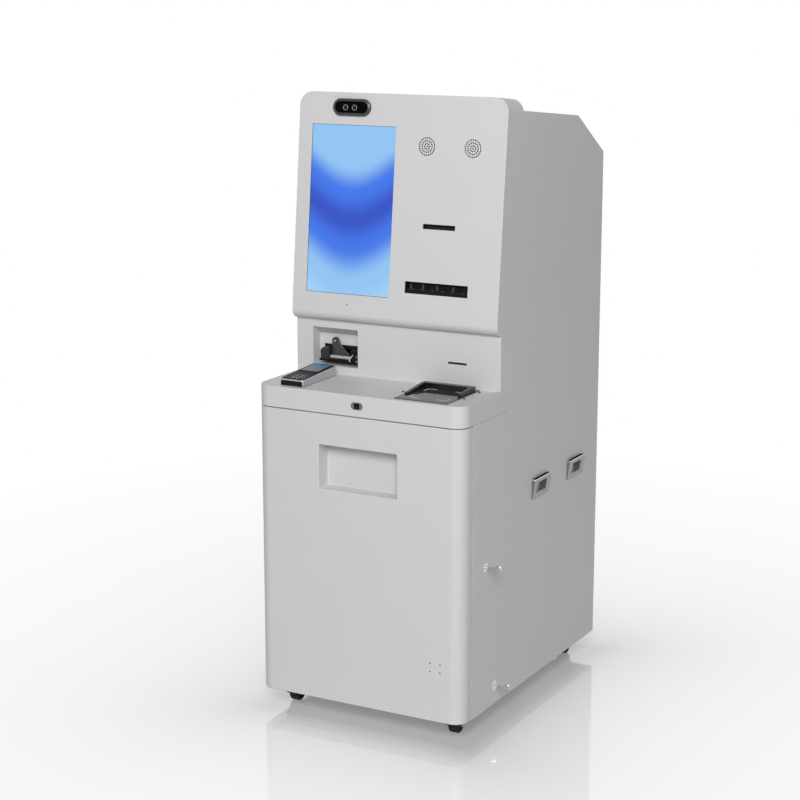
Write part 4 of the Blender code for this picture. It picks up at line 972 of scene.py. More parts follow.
class MakeLocks(bpy.types.Operator):
    """Make the two cylinder locks and their keys"""

    bl_idname = "cash_machine.locks"
    bl_label = "Locks and keys"

    def execute(self, context):
        s = sizes()
        for word, rose in (("upper", 0.0135), ("lower", 0.0165)):
            node = word + "_lock"
            y, z = RIGHT_SIDE.middle(node)[:2]
            inner = RIGHT_SIDE.span(node)[0][2]
            at = RIGHT_SIDE.at(y, z)
            barrel = rose - 0.0030
            shape = [(0.0053, inner), (barrel, inner), (barrel, 0.0003), (rose, 0.0003), (rose, 0.0012)]
            shape += [(rose - 0.0012, 0.0024), (0.0085, 0.0025), (0.0078, 0.0015), (0.0053, 0.0012)]
            turned = lathe([*shape, shape[0]], at, 48, (False, False))
            piece(node + "_barrel", [turned], "cabinet", "nickel", (node,))
            key = word + "_key"
            parts = key_parts(node, RIGHT_SIDE, s.key_reach) + blade_parts(key)
            piece(key + "_bow", parts, body_of(key), "nickel", (key,))
        return {"FINISHED"}


class MakeCasters(bpy.types.Operator):
    """Make four swivel casters with wheels, axle bolts and brake pedals"""

    bl_idname = "cash_machine.casters"
    bl_label = "Casters"

    def execute(self, context):
        for side in ("left", "right"):
            for end in ("front", "rear"):
                name = f"{end}_{side}_caster"
                fork, wheel = name + "_fork", name + "_wheel"
                softened(fork, 0.0008, "black_grain")
                low, high = CABINET.span(wheel)
                middle = (low + high) / 2
                half = (high[0] - low[0]) / 2
                axle = Place(CABINET(*middle), Y, Z, X)
                shape = wheel_profile(middle[2], half)
                parts = [lathe(shape, axle, 48, (False, False))]
                piece(wheel + "_tyre", parts, body_of(wheel), "hard_rubber", (wheel,))
                reach = half + 0.004
                bolt = [(0, reach), (0.0062, reach), (0.0062, reach + 0.0022)]
                bolt += [(0.0050, reach + 0.0030), (0, reach + 0.0030)]
                mirror = Place(CABINET(*middle), Y, Z, -X)
                parts = [lathe(bolt, axle, 6), lathe(bolt, mirror, 6)]
                low, high = CABINET.span(fork)
                x, y = (low[0] + high[0]) / 2, high[1] - 0.026
                ring = [(0.0262, 0.0536), (0.0268, 0.0545), (0.0268, 0.0560), (0.0262, 0.0569)]
                race = lathe(ring + [(0.0, 0.0569), (0.0, 0.0536)], CABINET.at(x, y), 40)
                piece(name + "_race_and_bolts", parts + [race], body_of(fork), "zinc_plate")
        return {"FINISHED"}


class MakeDisplay(bpy.types.Operator):
    """Make the touch glass, its lit picture and the housing behind them"""

    bl_idname = "cash_machine.display"
    bl_label = "Touch display"

    def execute(self, context):
        low, high = HEAD.span("display_glass")
        middle = (low + high) / 2
        at = HEAD.at(middle[0], middle[1])
        size = (high - low)[:2]
        glass = block(at, size, (low[2], high[2]), 0.001, 0.0002)
        piece("touch_glass", [glass], "cabinet", "gloss_black", ("display_glass",))
        shown = size - 2 * SCREEN_LAP - 0.002
        picture = block(at, shown, (high[2] + 0.00005, high[2] + 0.0001), 0.0006, 0.00001)
        piece("lit_picture", [picture], "cabinet", "screen_picture")
        softened("display_housing", 0.0010, "case_coat")
        return {"FINISHED"}


def stadium(width, height):
    """Rectangle with half-round ends."""
    return rounded(width, height, height / 2 - FINE, 10)


# The two lenses stand off the bar's middle by these distances.
LENS_SHIFTS = (-0.018, 0.011)


class MakeCamera(bpy.types.Operator):
    """Make the camera bar: rim, dark window and two lenses with rings, each lens with a painted blue
    highlight in its middle
    """

    bl_idname = "cash_machine.camera"
    bl_label = "Camera"

    def execute(self, context):
        low, high = HEAD.span("camera_housing")
        a, b = HEAD.middle("camera_housing")[:2]
        at = HEAD.at(a, b)
        proud = high[2]
        width, height = high[0] - low[0], high[1] - low[1]
        shape = [(0.0, FIT), (0.0, proud - 0.0035), (0.0006, proud - 0.0022), (0.0042, proud - 0.0003)]
        shape += [(0.0050, proud), (0.0068, proud), (0.0075, proud - 0.0005), (0.0080, proud - 0.0016)]
        loops = [stadium(width - 2 * inset, height - 2 * inset) for inset, _ in shape]
        rim = loft(loops, [depth for _, depth in shape], at)
        neck = block(at, (0.096, 0.024), (low[2], 0.001), 0.002)
        piece("camera_rim", [rim, neck], "cabinet", "camera_shell", ("camera_housing",))
        window = stadium(width - 0.0162, height - 0.0162)
        shape = [(1.0, proud - 0.0021), (1.0, proud - 0.0011), (0.995, proud - 0.0009)]
        pane = loft([window * share for share, _ in shape], [depth for _, depth in shape], at)
        piece("camera_window", [pane], "cabinet", "gloss_black")
        face = proud - 0.0009
        rings = []
        domes = []
        painted_glints = []
        for shift in LENS_SHIFTS:
            spot = at.at(shift, -0.001)
            ring = [(0.0064, face), (0.0080, face), (0.0080, face + 0.0003), (0.0076, face + 0.0006)]
            ring += [(0.0069, face + 0.0006), (0.0064, face + 0.0002), (0.0064, face)]
            rings.append(lathe(ring, spot, 40, (False, False)))
            turn = np.linspace(0, math.pi / 2, 9)
            dome = np.stack((0.0063 * np.cos(turn), face + 0.0005 * np.sin(turn)), -1)
            domes.append(lathe(dome, spot, 40))
            # A small blue disc in each lens: a painted highlight, the blue glint of coated glass.
            painted_glint = [(0.0024, face + 0.0004), (0.0022, face + 0.0007), (0.0, face + 0.0008)]
            painted_glints.append(lathe(painted_glint, spot, 24))
        piece("camera_lens_rings", rings, "cabinet", "satin_steel")
        piece("camera_lenses", domes, "cabinet", "lens_black")
        piece("camera_painted_lens_glints", painted_glints, "cabinet", "lens_painted_blue_glint")
        return {"FINISHED"}


class MakeSpeakers(bpy.types.Operator):
    """Make the two drivers: a ribbed cone, a dust cap, a basket and a magnet"""

    bl_idname = "cash_machine.speakers"
    bl_label = "Speakers"

    def execute(self, context):
        for node in SPEAKERS:
            low, high = HEAD.span(node)
            a, b = HEAD.middle(node)[:2]
            radius = (high[0] - low[0]) / 2
            front, back = high[2], low[2]
            waves = np.linspace(0.36, 0.80, 23)
            cone = np.stack((radius * waves, front - 0.0105 + 0.016 * (waves - 0.36)), -1)
            cone[:, 1] += 0.0004 * np.cos(np.arange(23) * math.pi)
            cap = arc((0.0, front - 0.0128), 0.0105, 90, 20, 6)
            roll = arc((radius * 0.86, front - 0.0025), radius * 0.05, 180, 0, 6)
            shape = np.concatenate((cap, cone, roll, [(radius * 0.92, front), (radius, front)]))
            tail = [(radius, front - 0.018), (0.6 * radius, front - 0.019), (0.6 * radius, back), (0, back)]
            body = lathe(np.concatenate((shape, tail)), HEAD.at(a, b), 40)
            piece(node + "_driver", [body], "cabinet", "speaker_paper", (node,))
        return {"FINISHED"}


def bar(place, across, at, radius, sides=16):
    """A round bar along the place's across direction, from across[0] to across[1], centred on (b, c)."""
    path = place(np.linspace(*across, 3), at[0], at[1])
    return tube(path, radius, sides)


class MakeReceiptPrinter(bpy.types.Operator):
    """Make the printer, its tear bar and platen, and the paper roll"""

    bl_idname = "cash_machine.receipt_printer"
    bl_label = "Receipt printer"

    def execute(self, context):
        softened("receipt_printer", 0.0006, "black_grain")
        a, b = HEAD.middle("receipt_printer")[:2]
        at = HEAD.at(a, b)
        width = 0.096
        tooth = 0.0020
        count = int(width / tooth)
        edge = np.arange(2 * count + 1) * tooth / 2 - width / 2
        fringe = np.stack((edge, np.where(np.arange(2 * count + 1) % 2, 0.0034, 0.0042)), -1)
        outline = np.concatenate(([(-width / 2, 0.0054), (-width / 2, 0.0042)], fringe[1:-1]))
        outline = np.concatenate((outline, [(width / 2, 0.0042), (width / 2, 0.0054)]))
        saw = loft([outline, outline], (-0.0042, -0.0036), at)
        piece("tear_bar", [saw], "cabinet", "black_grain")
        platen = bar(at, (-width / 2, width / 2), (-0.0020, -0.0130), 0.0032)
        piece("platen", [platen], "cabinet", "hard_rubber")
        low, high = HEAD.span("paper_roll")
        middle = (low + high) / 2
        half = (high[0] - low[0]) / 2
        radius = (high[1] - low[1]) / 2
        axle = Place(HEAD(*middle), HEAD.ways[1], HEAD.ways[2], X)
        wound = [(0.0068, half - 0.0006), (0.0085, half)]
        wound += [(r, half - 0.0002 * (i % 2)) for i, r in enumerate(np.linspace(0.010, radius - 0.001, 25))]
        wound = np.array(wound + [(radius, half - 0.0006)])
        shape = np.concatenate((wound, wound[::-1] * (1, -1), wound[:1]))
        roll = lathe(shape, axle, 48, (False, False))
        core = [(0.0053, -half), (0.0068, -half), (0.0068, half), (0.0053, half), (0.0053, -half)]
        parts = [roll, lathe(core, axle, 32, (False, False))]
        piece("paper_on_core", parts, body_of("paper_roll"), "thermal_paper", ("paper_roll",))
        return {"FINISHED"}


class MakeNoteOutlet(bpy.types.Operator):
    """Make the pay-out chute with its rollers and levers, and the flap"""

    bl_idname = "cash_machine.note_outlet"
    bl_label = "Note outlet"

    def execute(self, context):
        softened("note_outlet", 0.0005, "black_grain")
        low, high = HEAD.span("note_outlet_shutter")
        middle = (low + high) / 2
        half = (high[0] - low[0]) / 2
        tube_r = 0.003
        pivot = (high[1] - tube_r * math.cos(math.pi / 12), middle[2])
        at = HEAD.at(middle[0], (low[1] + pivot[0]) / 2, middle[2])
        leaf = block(at, (2 * half, pivot[0] - low[1]), (-0.0012, 0.0010), 0.001, 0.0004)
        spread = np.linspace(-half * 0.85, half * 0.85, 9)
        ribs = [block(at.at(x, 0.0), (0.0022, 0.020), (-0.0005, 0.0024), 0.001) for x in spread]
        stem = bar(HEAD, (low[0], high[0]), pivot, tube_r * 0.95)
        body = body_of("note_outlet_shutter")
        parts = [leaf, stem] + ribs
        piece("outlet_flap", parts, body, "black_grain", ("note_outlet_shutter",))
        low, high = HEAD.span("note_outlet")
        a, b = (low[0] + high[0]) / 2, (low[1] + high[1]) / 2
        inner = (high[0] - low[0]) / 2 - 0.008
        rail = block(HEAD.at(a, b - 0.0118), (2 * inner, 0.006), (-0.016, -0.004), 0.0008)
        shaft = bar(HEAD, (a - inner, a + inner), (b - 0.0062, -0.0115), 0.0012)
        rollers = []
        for x in np.linspace(-0.82, 0.82, 6) * inner:
            wheel = np.array([(0.0, -0.0035), (0.0034, -0.0035), (0.0038, -0.0030)])
            wheel = np.concatenate((wheel, wheel[::-1] * (1, -1)))
            axle = Place(HEAD(a + x, b - 0.0062, -0.0115), HEAD.ways[1], HEAD.ways[2], X)
            rollers.append(lathe(wheel, axle, 20))
        piece("outlet_rail", [rail], "cabinet", "black_grain")
        piece("outlet_rollers", [shaft] + rollers, "cabinet", "dark_grain")
        levers = []
        for x in np.array((-0.86, -0.46, 0.0, 0.52)) * inner:
            outline = [(0.006, -0.0035), (0.0135, -0.0035), (0.0135, 0.0028)]
            outline += [(0.009, 0.0105), (0.006, 0.0105)]
            side = Place(HEAD(a + x, b, 0.0), -HEAD.ways[2], HEAD.ways[1], X)
            levers.append(slab(outline, side, (-0.0022, 0.0022), 0.0004))
        piece("outlet_levers", levers, "cabinet", "gloss_grey")
        return {"FINISHED"}


class MakeCardReader(bpy.types.Operator):
    """Make the card reader with guide lips inside its mouth"""

    bl_idname = "cash_machine.card_reader"
    bl_label = "Card reader"

    def execute(self, context):
        softened("card_reader", 0.0006, "black_grain")
        a, b = MID.middle("card_reader")[:2]
        lips = [
            block(MID.at(a, b + side * 0.0024), (0.052, 0.0006), (-0.016, -0.0030), 0.0002, 0.0001)
            for side in (-1, 1)
        ]
        piece("card_guides", lips, "cabinet", "zinc_plate")
        return {"FINISHED"}


def screw(place, radius=0.0024, head=0.0012):
    """Round screw head: a low dome with a round recess in its middle."""
    turn = np.linspace(0, math.pi / 2, 5)
    dome = np.stack((radius * np.cos(turn) * 0.35 + radius * 0.65, head * np.sin(turn)), -1)
    shape = np.concatenate((dome, [(radius * 0.34, head), (radius * 0.26, head * 0.35), (0.0, head * 0.3)]))
    return lathe(shape, place, 16, (False, True))


class MakeFeeder(bpy.types.Operator):
    """Make the note feeder in the niche: body, side plates, tray ribs, guide paddle and feed roller"""

    bl_idname = "cash_machine.feeder"
    bl_label = "Note feeder"

    def execute(self, context):
        softened("feeder_body", 0.0007, "black_grain")
        low, high = MID.span("feeder_body")
        tray = low[1] + 0.0144
        front = high[2]
        bed = Place(MID(0.0, tray, 0.0), X, -MID.ways[2], Z)
        ribs = [
            block(bed.at(x, -front + 0.0085), (0.0022, 0.015), (0.0, 0.0012), 0.0010, 0.0004)
            for x in np.linspace(low[0] + 0.040, high[0] - 0.034, 8)
        ]
        piece("feeder_tray_ribs", ribs, "cabinet", "dark_grain")
        block_at = MID.at(low[0] + 0.0177, low[1] + 0.0347)
        crown = np.concatenate((arc((0.0, 0.0), 0.0143, 0, 180, 16), [(-0.0143, -0.0200), (0.0143, -0.0200)]))
        cap = slab(crown, block_at, (front - 0.0152, front + 0.0006), 0.0010)
        piece("feeder_block", [cap], "cabinet", "dark_grain")
        edge = high[0] - 0.0268
        hook = [(-0.0030, 0.0135), (0.0010, 0.0125), (0.0015, 0.0165), (0.0000, 0.0185)]
        hook += [(0.0120, 0.0330), (0.0090, 0.0350), (-0.0040, 0.0200), (-0.0035, 0.0180)]
        bracket = slab(hook, MID.at(edge, low[1]), (front - 0.0005, front + 0.0018), 0.0004)
        cheek = MID.at(high[0] - 0.0060, low[1] + 0.0220, front)
        heads = [screw(cheek.at(0.0, shift), 0.0016, 0.0008) for shift in (-0.007, 0.007)]
        outer = MID.at(low[0] + 0.0025, low[1] + 0.0250)
        plates = [bracket, block(outer, (0.0022, 0.020), (front - 0.0130, front - 0.0010), 0.001)]
        piece("feeder_side_plates", plates + heads, "cabinet", "polished_steel")
        low, high = MID.span("feeder_paddle")
        depth = (low[2] + high[2]) / 2
        left = low[0]
        floor = low[1]
        eye = (left + 0.0115, high[1] - 0.0115)
        flare = [(0.0556, 0.006), (0.0558, 0.016), (0.0430, 0.026), (0.0290, 0.041)]
        flare = np.array(flare) + (left, floor)
        outline = np.concatenate((flare, arc(eye, 0.0115, 40, 180, 14), [(left, floor + 0.006)]))
        leaf = slab(outline, MID, (depth - 0.0033, depth + 0.0033), 0.0012)
        eye_at = MID.at(*eye, depth)
        rise = [(0.0075, 0.003), (0.0075, 0.0042), (0.0066, 0.0050), (0.0, 0.0050)]
        boss = lathe(rise, eye_at, 28, (False, True))
        stem = bar(MID, (low[0], high[0]), (floor + 0.003, depth), 0.0029)
        body = body_of("feeder_paddle")
        piece("guide_paddle", [leaf, boss, stem], body, "gloss_grey", ("feeder_paddle",))
        dot = lathe([(0.0022, 0.0050), (0.0022, 0.0054), (0.0, 0.0057)], eye_at, 20, (False, True))
        piece("paddle_dot", [dot], body, "key_mark")
        low, high = MID.span("feeder_roller")
        middle = (low + high) / 2
        radius = (high[1] - low[1]) / 2
        axle = Place(MID(*middle), Y, Z, X)
        half = (high[0] - low[0]) / 2
        shape = [(0.0024, -half), (radius - 0.001, -half), (radius, -half + 0.001)]
        for start in np.linspace(-half + 0.009, half - 0.012, 4):
            groove = radius - 0.0012
            shape += [(radius, start), (groove, start + 0.0004)]
            shape += [(groove, start + 0.0026), (radius, start + 0.003)]
        shape += [(radius, half - 0.001), (radius - 0.001, half), (0.0024, half), (0.0024, -half)]
        feed = lathe(shape, axle, 28, (False, False))
        body = body_of("feeder_roller")
        piece("feed_roller", [feed], body, "satin_silver", ("feeder_roller",))
        return {"FINISHED"}


# The scanner's screws, its corner marks and its hood, from the middle of the plate.
DECK_SCREWS = ((-0.1000, -0.013), (0.0915, -0.018), (0.0915, 0.074))
MARK = {"middle": (0.005, -0.012), "half": (0.056, 0.057), "reach": 0.030, "thick": 0.0026}
HOOD = {"arm": 0.011, "bridge": 0.022, "flat": 0.030, "lip": 0.004, "edge": 0.003, "short": 0.030}


def corner_marks(place, top):
    """Four bright corners on the plate, each of two bars that meet at right angles."""
    marks = []
    reach, thick = MARK["reach"], MARK["thick"]
    depth = (top - 0.0001, top + 0.00005)
    shift = (reach - thick) / 2
    for side in (-1, 1):
        for end in (-1, 1):
            a = MARK["middle"][0] + side * MARK["half"][0]
            b = MARK["middle"][1] + end * MARK["half"][1]
            marks.append(block(place.at(a - side * shift, b), (reach, thick), depth, 0.0004, 0.00002))
            marks.append(block(place.at(a, b - end * shift), (thick, reach), depth, 0.0004, 0.00002))
    return marks


def hood_parts(low, high):
    """A bar behind the plate and two arms that fall towards the front, the right one shorter."""
    side_view = Place(DECK.origin, Y, Z, X)
    rear = high[1] - 0.002
    top = high[2] - 0.0004
    lip = low[2] + HOOD["lip"]
    fall = (high[2] - lip) / (high[1] - HOOD["flat"] - low[1])
    parts = []
    for outer, side, front in ((low[0], -1, low[1]), (high[0], 1, low[1] + HOOD["short"])):
        outline = [(front, low[2]), (rear, low[2]), (rear, top)]
        outline += [(high[1] - HOOD["flat"], top), (front, lip + fall * (front - low[1]))]
        across = sorted((outer, outer - side * HOOD["arm"]))
        parts.append(slab(outline, side_view, across, 0.0012))
    front = high[1] - HOOD["bridge"]
    edge = HOOD["edge"]
    outline = [(front, low[2]), (high[1], low[2]), (high[1], high[2] - edge)]
    outline += [(high[1] - edge, high[2]), (front, high[2])]
    parts.append(slab(outline, side_view, (low[0] + 0.0004, high[0] - 0.0004), 0.0015))
    return parts


class MakeScanner(bpy.types.Operator):
    """Make the document scanner: frame, glass, corner marks, screws and the hood around the glass"""

    bl_idname = "cash_machine.scanner"
    bl_label = "Document scanner"

    def execute(self, context):
        low, high = DECK.span("document_scanner")
        a, b = (low[0] + high[0]) / 2, (low[1] + high[1]) / 2
        width, length = high[0] - low[0], high[1] - low[1]
        at = DECK.at(a, b)
        top = high[2]
        window = (width - 0.018, length - 0.018)
        shape = [(0.0, FIT), (0.0, top - 0.0006), (0.0006, top)]
        loops = [rounded(width - 2 * inset, length - 2 * inset, 0.004) for inset, _ in shape]
        depths = [depth for _, depth in shape]
        for inset, depth in ((0.0, top), (0.0003, top - 0.0006)):
            loops.append(rounded(window[0] - 2 * inset, window[1] - 2 * inset, 0.003))
            depths.append(depth)
        frame_part = loft(loops, depths, at)
        tub = block(at, (width - 0.017, length - 0.017), (low[2], FIT), 0.002, 0.001)
        nodes = ("document_scanner",)
        piece("scanner_frame", [frame_part, tub], "cabinet", "scanner_glass", nodes)
        pane = block(at, (window[0] - 0.001, window[1] - 0.001), (top - 0.0006, top - 0.0001), 0.003, 0.0002)
        piece("scanner_glass", [pane], "cabinet", "scanner_glass")
        piece("scanner_marks", corner_marks(at, top), "cabinet", "corner_mark")
        heads = [screw(at.at(a, b, FIT), 0.0032, 0.0026) for a, b in DECK_SCREWS]
        piece("scanner_screws", heads, "cabinet", "black_grain")
        hood = hood_parts(*DECK.span("scanner_hood"))
        piece("scanner_hood_cover", hood, "cabinet", "hood_gloss", ("scanner_hood",))
        return {"FINISHED"}


class MakeSensor(bpy.types.Operator):
    """Make the presence sensor on the deck's lip"""

    bl_idname = "cash_machine.sensor"
    bl_label = "Presence sensor"

    def execute(self, context):
        low, high = FACE.span("presence_sensor")
        a, b = FACE.middle("presence_sensor")[:2]
        at = FACE.at(a, b)
        width, height, proud = high[0] - low[0], high[1] - low[1], high[2]
        shape = [(0.0, FIT), (0.0, proud - 0.0010), (0.0004, proud - 0.0003), (0.0012, proud)]
        shape += [(0.0020, proud), (0.0026, proud - 0.0005), (0.0028, proud - 0.0008)]
        rim = loft([stadium(width - 2 * i, height - 2 * i) for i, _ in shape], [d for _, d in shape], at)
        neck = block(at, (0.024, 0.013), (low[2], FIT + 0.0001), 0.001)
        parts = [rim, neck]
        piece("sensor_rim", parts, "cabinet", "sensor_shell", ("presence_sensor",))
        pane = block(at, (0.0165, 0.0150), (proud - 0.0010, proud - 0.0002), 0.0018, 0.0002)
        piece("sensor_window", [pane], "cabinet", "gloss_black")
        under = proud - 0.0002
        ring = [(0.0026, under), (0.0040, under), (0.0038, proud), (0.0028, proud), (0.0026, under)]
        ring = lathe(ring, at, 32, (False, False))
        piece("sensor_ring", [ring], "cabinet", "dark_grain")
        return {"FINISHED"}


def terminal_place():
    """Place on the payment terminal's sloping top, its origin inside the middle key of the front row."""
    press = next(j for j in frame["record"]["behaviour"]["joints"] if j["child"] == "terminal_key_1_2")
    out = -np.array(press["axis"])
    out /= np.linalg.norm(out)
    low, high = (np.array(corner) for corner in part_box("terminal_key_1_2"))
    return Place((low + high) / 2, X, np.cross(out, X), out)


# Each digit's bars: a to f run clockwise from the top bar, and g is the middle one.
SEGMENTS = ("abcdef", "bc", "abged", "abgcd", "fgbc", "afgcd", "afgedc", "abc", "abcdefg", "abcdfg")


def key_numbers():
    """The number on each key by (column, row), row 0 in front: 1 to 3 at the rear, 0 in front."""
    numbers = {((n - 1) % 3, 3 - (n - 1) // 3): n for n in range(1, 10)}
    numbers[1, 0] = 0
    return numbers


def digit(number, place, height=0.0046, stroke=0.0006):
    """A number made of up to seven small bars on a key's top."""
    w, h = height * 0.52, height
    bars = {
        "a": ((0, h / 2), (w, stroke)),
        "g": ((0, 0), (w, stroke)),
        "d": ((0, -h / 2), (w, stroke)),
        "b": ((w / 2, h / 4), (stroke, h / 2)),
        "c": ((w / 2, -h / 4), (stroke, h / 2)),
        "f": ((-w / 2, h / 4), (stroke, h / 2)),
        "e": ((-w / 2, -h / 4), (stroke, h / 2)),
    }
    parts = []
    for i, letter in enumerate(SEGMENTS[number]):
        at, size = bars[letter]
        parts.append(block(place.at(*at), size, (0.0, 0.00012 + 0.000004 * i), 0.0002, 0.00004, 1))
    return parts


# The keypad's middle, up the slope from the front row's keys.
PAD_MIDDLE = 0.0188


def key_cap(node, top):
    """A key's cap with a dished top, and the place on the middle of its top."""
    low, high = top.span(node)
    middle = (low + high) / 2
    at = top.at(middle[0], middle[1])
    rise = high[2]
    steps = [(0.0, low[2]), (0.0, rise - 0.0008), (0.0003, rise - 0.0002)]
    steps += [(0.0009, rise), (0.0025, rise - 0.0003)]
    size = (high - low)[:2]
    loops = [rounded(size[0] - 2 * i, size[1] - 2 * i, 0.0026 - i * 0.8, 4) for i, _ in steps]
    return loft(loops, [depth for _, depth in steps], at), at.at(0.0, 0.0, rise - 0.0003)


class MakeTerminal(bpy.types.Operator):
    """Make the payment terminal: body, top frame, screen and twelve numbered keys"""

    bl_idname = "cash_machine.terminal"
    bl_label = "Payment terminal"

    def execute(self, context):
        low, high = DECK.span("payment_terminal")
        width, length = high[0] - low[0], high[1] - low[1]
        top = terminal_place()
        near = -(top.origin[1] - FRONT_Y - low[1])
        x = (low[0] + high[0]) / 2
        side = Place(DECK(x, low[1], 0.0), X, Z, Y)
        slope = top.ways[1][2] / top.ways[1][1]
        face = top.origin[2] - DECK_Z
        nose_y = 0.006 * (1 - np.cos(np.linspace(0, math.pi / 2, 6)))
        tail_y = length - 0.003 * (1 - np.sin(np.linspace(0, math.pi / 2, 5)))
        stations = np.concatenate((nose_y, np.linspace(0.02, length - 0.006, 8), tail_y))
        loops = []
        for y in stations:
            bite = max(0.0, 1 - y / 0.006) ** 2 * 0.004 + max(0.0, 1 - (length - y) / 0.003) ** 2 * 0.002
            height = face + (y + near) * slope - 0.0004 - bite - FIT
            loops.append(rounded(width - 2 * bite, height, 0.0045, 5, (0.0, FIT + height / 2)))
        tub = loft(loops, stations, side)
        piece("terminal_body", [tub], "cabinet", "satin_silver", ("payment_terminal",))
        nose = FACE.at(x, FIT + DECK_Z + (face - 0.0045) / 2, -low[1])
        nose = block(nose, (width - 0.0060, face - 0.0065), (-0.004, 0.0004), 0.003, 0.0004)
        piece("terminal_nose", [nose], "cabinet", "black_grain")
        middle = near + length / 2
        pad = (0.0585, 0.0535)
        outer = rounded(width - 0.004, length - 0.006, 0.005, 5, (0.0, middle - PAD_MIDDLE))
        well = rounded(pad[0] - 0.001, pad[1] - 0.001, 0.003)
        floor = top.span("terminal_key_1_1")[0][2] - 0.004
        shape = [(outer, floor - 0.001), (outer, 0.0004), (pad_loop(outer, 0.0006), 0.0010)]
        shape += [(rounded(*pad, 0.003), 0.0010), (well, 0.0004), (well, floor)]
        cover = loft([loop for loop, _ in shape], [depth for _, depth in shape], top.at(0.0, PAD_MIDDLE))
        piece("terminal_top", [cover], "cabinet", "black_grain")
        screen_at = top.at(0.0, near + length - 0.052)
        glass = block(screen_at, (0.064, 0.090), (0.0009, 0.0016), 0.004, 0.0004)
        piece("terminal_glass", [glass], "cabinet", "gloss_black")
        # A glowing picture just over the glass: grey that is a painted reflection of the white surroundings,
        # with a blue glow at the rear.
        shown = block(screen_at.at(0.0, 0.004), (0.057, 0.076), (0.0016, 0.00166), 0.001, 0.00001)
        piece("terminal_picture_and_painted_reflection", [shown], "cabinet", "terminal_picture_and_painted_reflection")
        reader = block(top.at(0.0, near + 0.0038), (0.046, 0.0012), (0.0009, 0.0013), 0.0004, 0.0001)
        piece("terminal_slot", [reader], "cabinet", "gloss_black")
        numbers = key_numbers()
        for row in range(4):
            for column in range(3):
                node = f"terminal_key_{row + 1}_{column + 1}"
                body = body_of(node)
                cap, at = key_cap(node, top)
                piece(node + "_cap", [cap], body, "soft_key", (node,))
                number = numbers.get((column, row))
                if number is None:
                    parts = [block(at, (0.0055, 0.0012), (0.0, 0.00014), 0.0005, 0.00004)]
                    finish = "key_green" if column else "key_red"
                else:
                    parts = digit(number, at)
                    finish = "key_mark"
                piece(node + "_mark", parts, body, finish)
        return {"FINISHED"}


class MakeDispenser(bpy.types.Operator):
    """Make the cash module with four cassettes, their grips and latches"""

    bl_idname = "cash_machine.dispenser"
    bl_label = "Cash module"

    def execute(self, context):
        softened("note_dispenser", 0.0015, "case_coat")
        low, high = FACE.span("note_dispenser")
        front = high[2]
        bottom = low[1] + 0.020
        top = CABINET.span("note_dispenser")[0][2] + 0.4957
        pitch = (top - low[1] - 0.040) / 4
        left, right = low[0] + 0.015, low[0] + 0.285
        middle = (left + right) / 2
        grips = []
        latches = []
        for level in range(4):
            z = bottom + level * pitch + (pitch - 0.008) / 2
            at = FACE.at(middle, z)
            size = (right - left - 0.006, pitch - 0.014)
            grips.append(block(at, size, (front - 0.0005, front + 0.0025), 0.006, 0.001))
            path = arc((0.0, 0.0), 0.012, 180, 90, 5) + (-0.044, 0.0)
            bow = np.concatenate((path, path[::-1] * (-1, 1)))
            grips.append(tube(at.at(0.0, 0.012)(bow[:, 0], 0.0, front + 0.002 + bow[:, 1]), 0.0042, 14))
            latches.append(block(at.at(0.105, 0.0, front), (0.018, 0.030), (0.002, 0.0045), 0.004, 0.001))
            lock = [(0.0, 0.0060), (0.0050, 0.0060), (0.0058, 0.0052), (0.0058, 0.002)]
            latches.append(lathe(lock, at.at(-0.105, 0.0, front), 24, (True, False)))
        piece("cassette_fronts", grips, "cabinet", "dark_grain")
        piece("cassette_latches", latches, "cabinet", "nickel")
        return {"FINISHED"}


class MakeComputer(bpy.types.Operator):
    """Make the controller's case with its fan guard, ports and screws"""

    bl_idname = "cash_machine.computer"
    bl_label = "Controller"

    def execute(self, context):
        softened("computer", 0.0012, "case_coat")
        low, high = REAR.span("computer")
        back = high[2]
        at = REAR.at(low[0] + 0.070, (low[1] + high[1]) / 2, back)
        rings = []
        for radius in (0.010, 0.019, 0.028, 0.037):
            ring = circle(radius, 41)[np.r_[0:41, 0]]
            rings.append(tube(at(*ring.T, 0.0022), 0.0010, 8))
        spokes = []
        for turn in np.arange(4) * math.pi / 2 + math.pi / 4:
            reach = np.linspace(0.006, 0.047, 3)
            spokes.append(tube(at(reach * math.cos(turn), reach * math.sin(turn), 0.0022), 0.0010, 8))
        heads = [screw(at.at(dx, dz), 0.0028) for dx in (-0.035, 0.035) for dz in (-0.035, 0.035)]
        piece("fan_guard", rings + spokes + heads, "cabinet", "zinc_plate")
        ports = []
        for i in range(4):
            ports.append(block(at.at(0.085 + 0.022 * i, -0.020), (0.015, 0.0075), (0.0, 0.0012), 0.0008))
            ports.append(block(at.at(0.085 + 0.022 * i, 0.004), (0.017, 0.013), (0.0, 0.0015), 0.001))
        piece("controller_ports", ports, "cabinet", "black_grain")
        return {"FINISHED"}


class MakePowerInlet(bpy.types.Operator):
    """Make the mains inlet with its three pins and screws, and the rocker switch"""

    bl_idname = "cash_machine.power_inlet"
    bl_label = "Mains inlet"

    def execute(self, context):
        softened("power_inlet", 0.0006, "black_grain")
        low, high = REAR.span("power_inlet")
        a, b = (low[0] + high[0]) / 2, (low[1] + high[1]) / 2
        pins = [
            block(REAR.at(a + dx, b - 0.0155 + dz), (0.0020, 0.0045), (-0.0182, -0.0030), 0.0006, 0.0004)
            for dx, dz in ((-0.006, -0.0015), (0.0, 0.0020), (0.006, -0.0015))
        ]
        heads = [screw(REAR.at(a + dx, b, high[2]), 0.0022, 0.0010) for dx in (-0.0245, 0.0245)]
        piece("inlet_pins", pins + heads, "cabinet", "nickel")
        softened("power_switch", 0.0005, "black_grain")
        return {"FINISHED"}


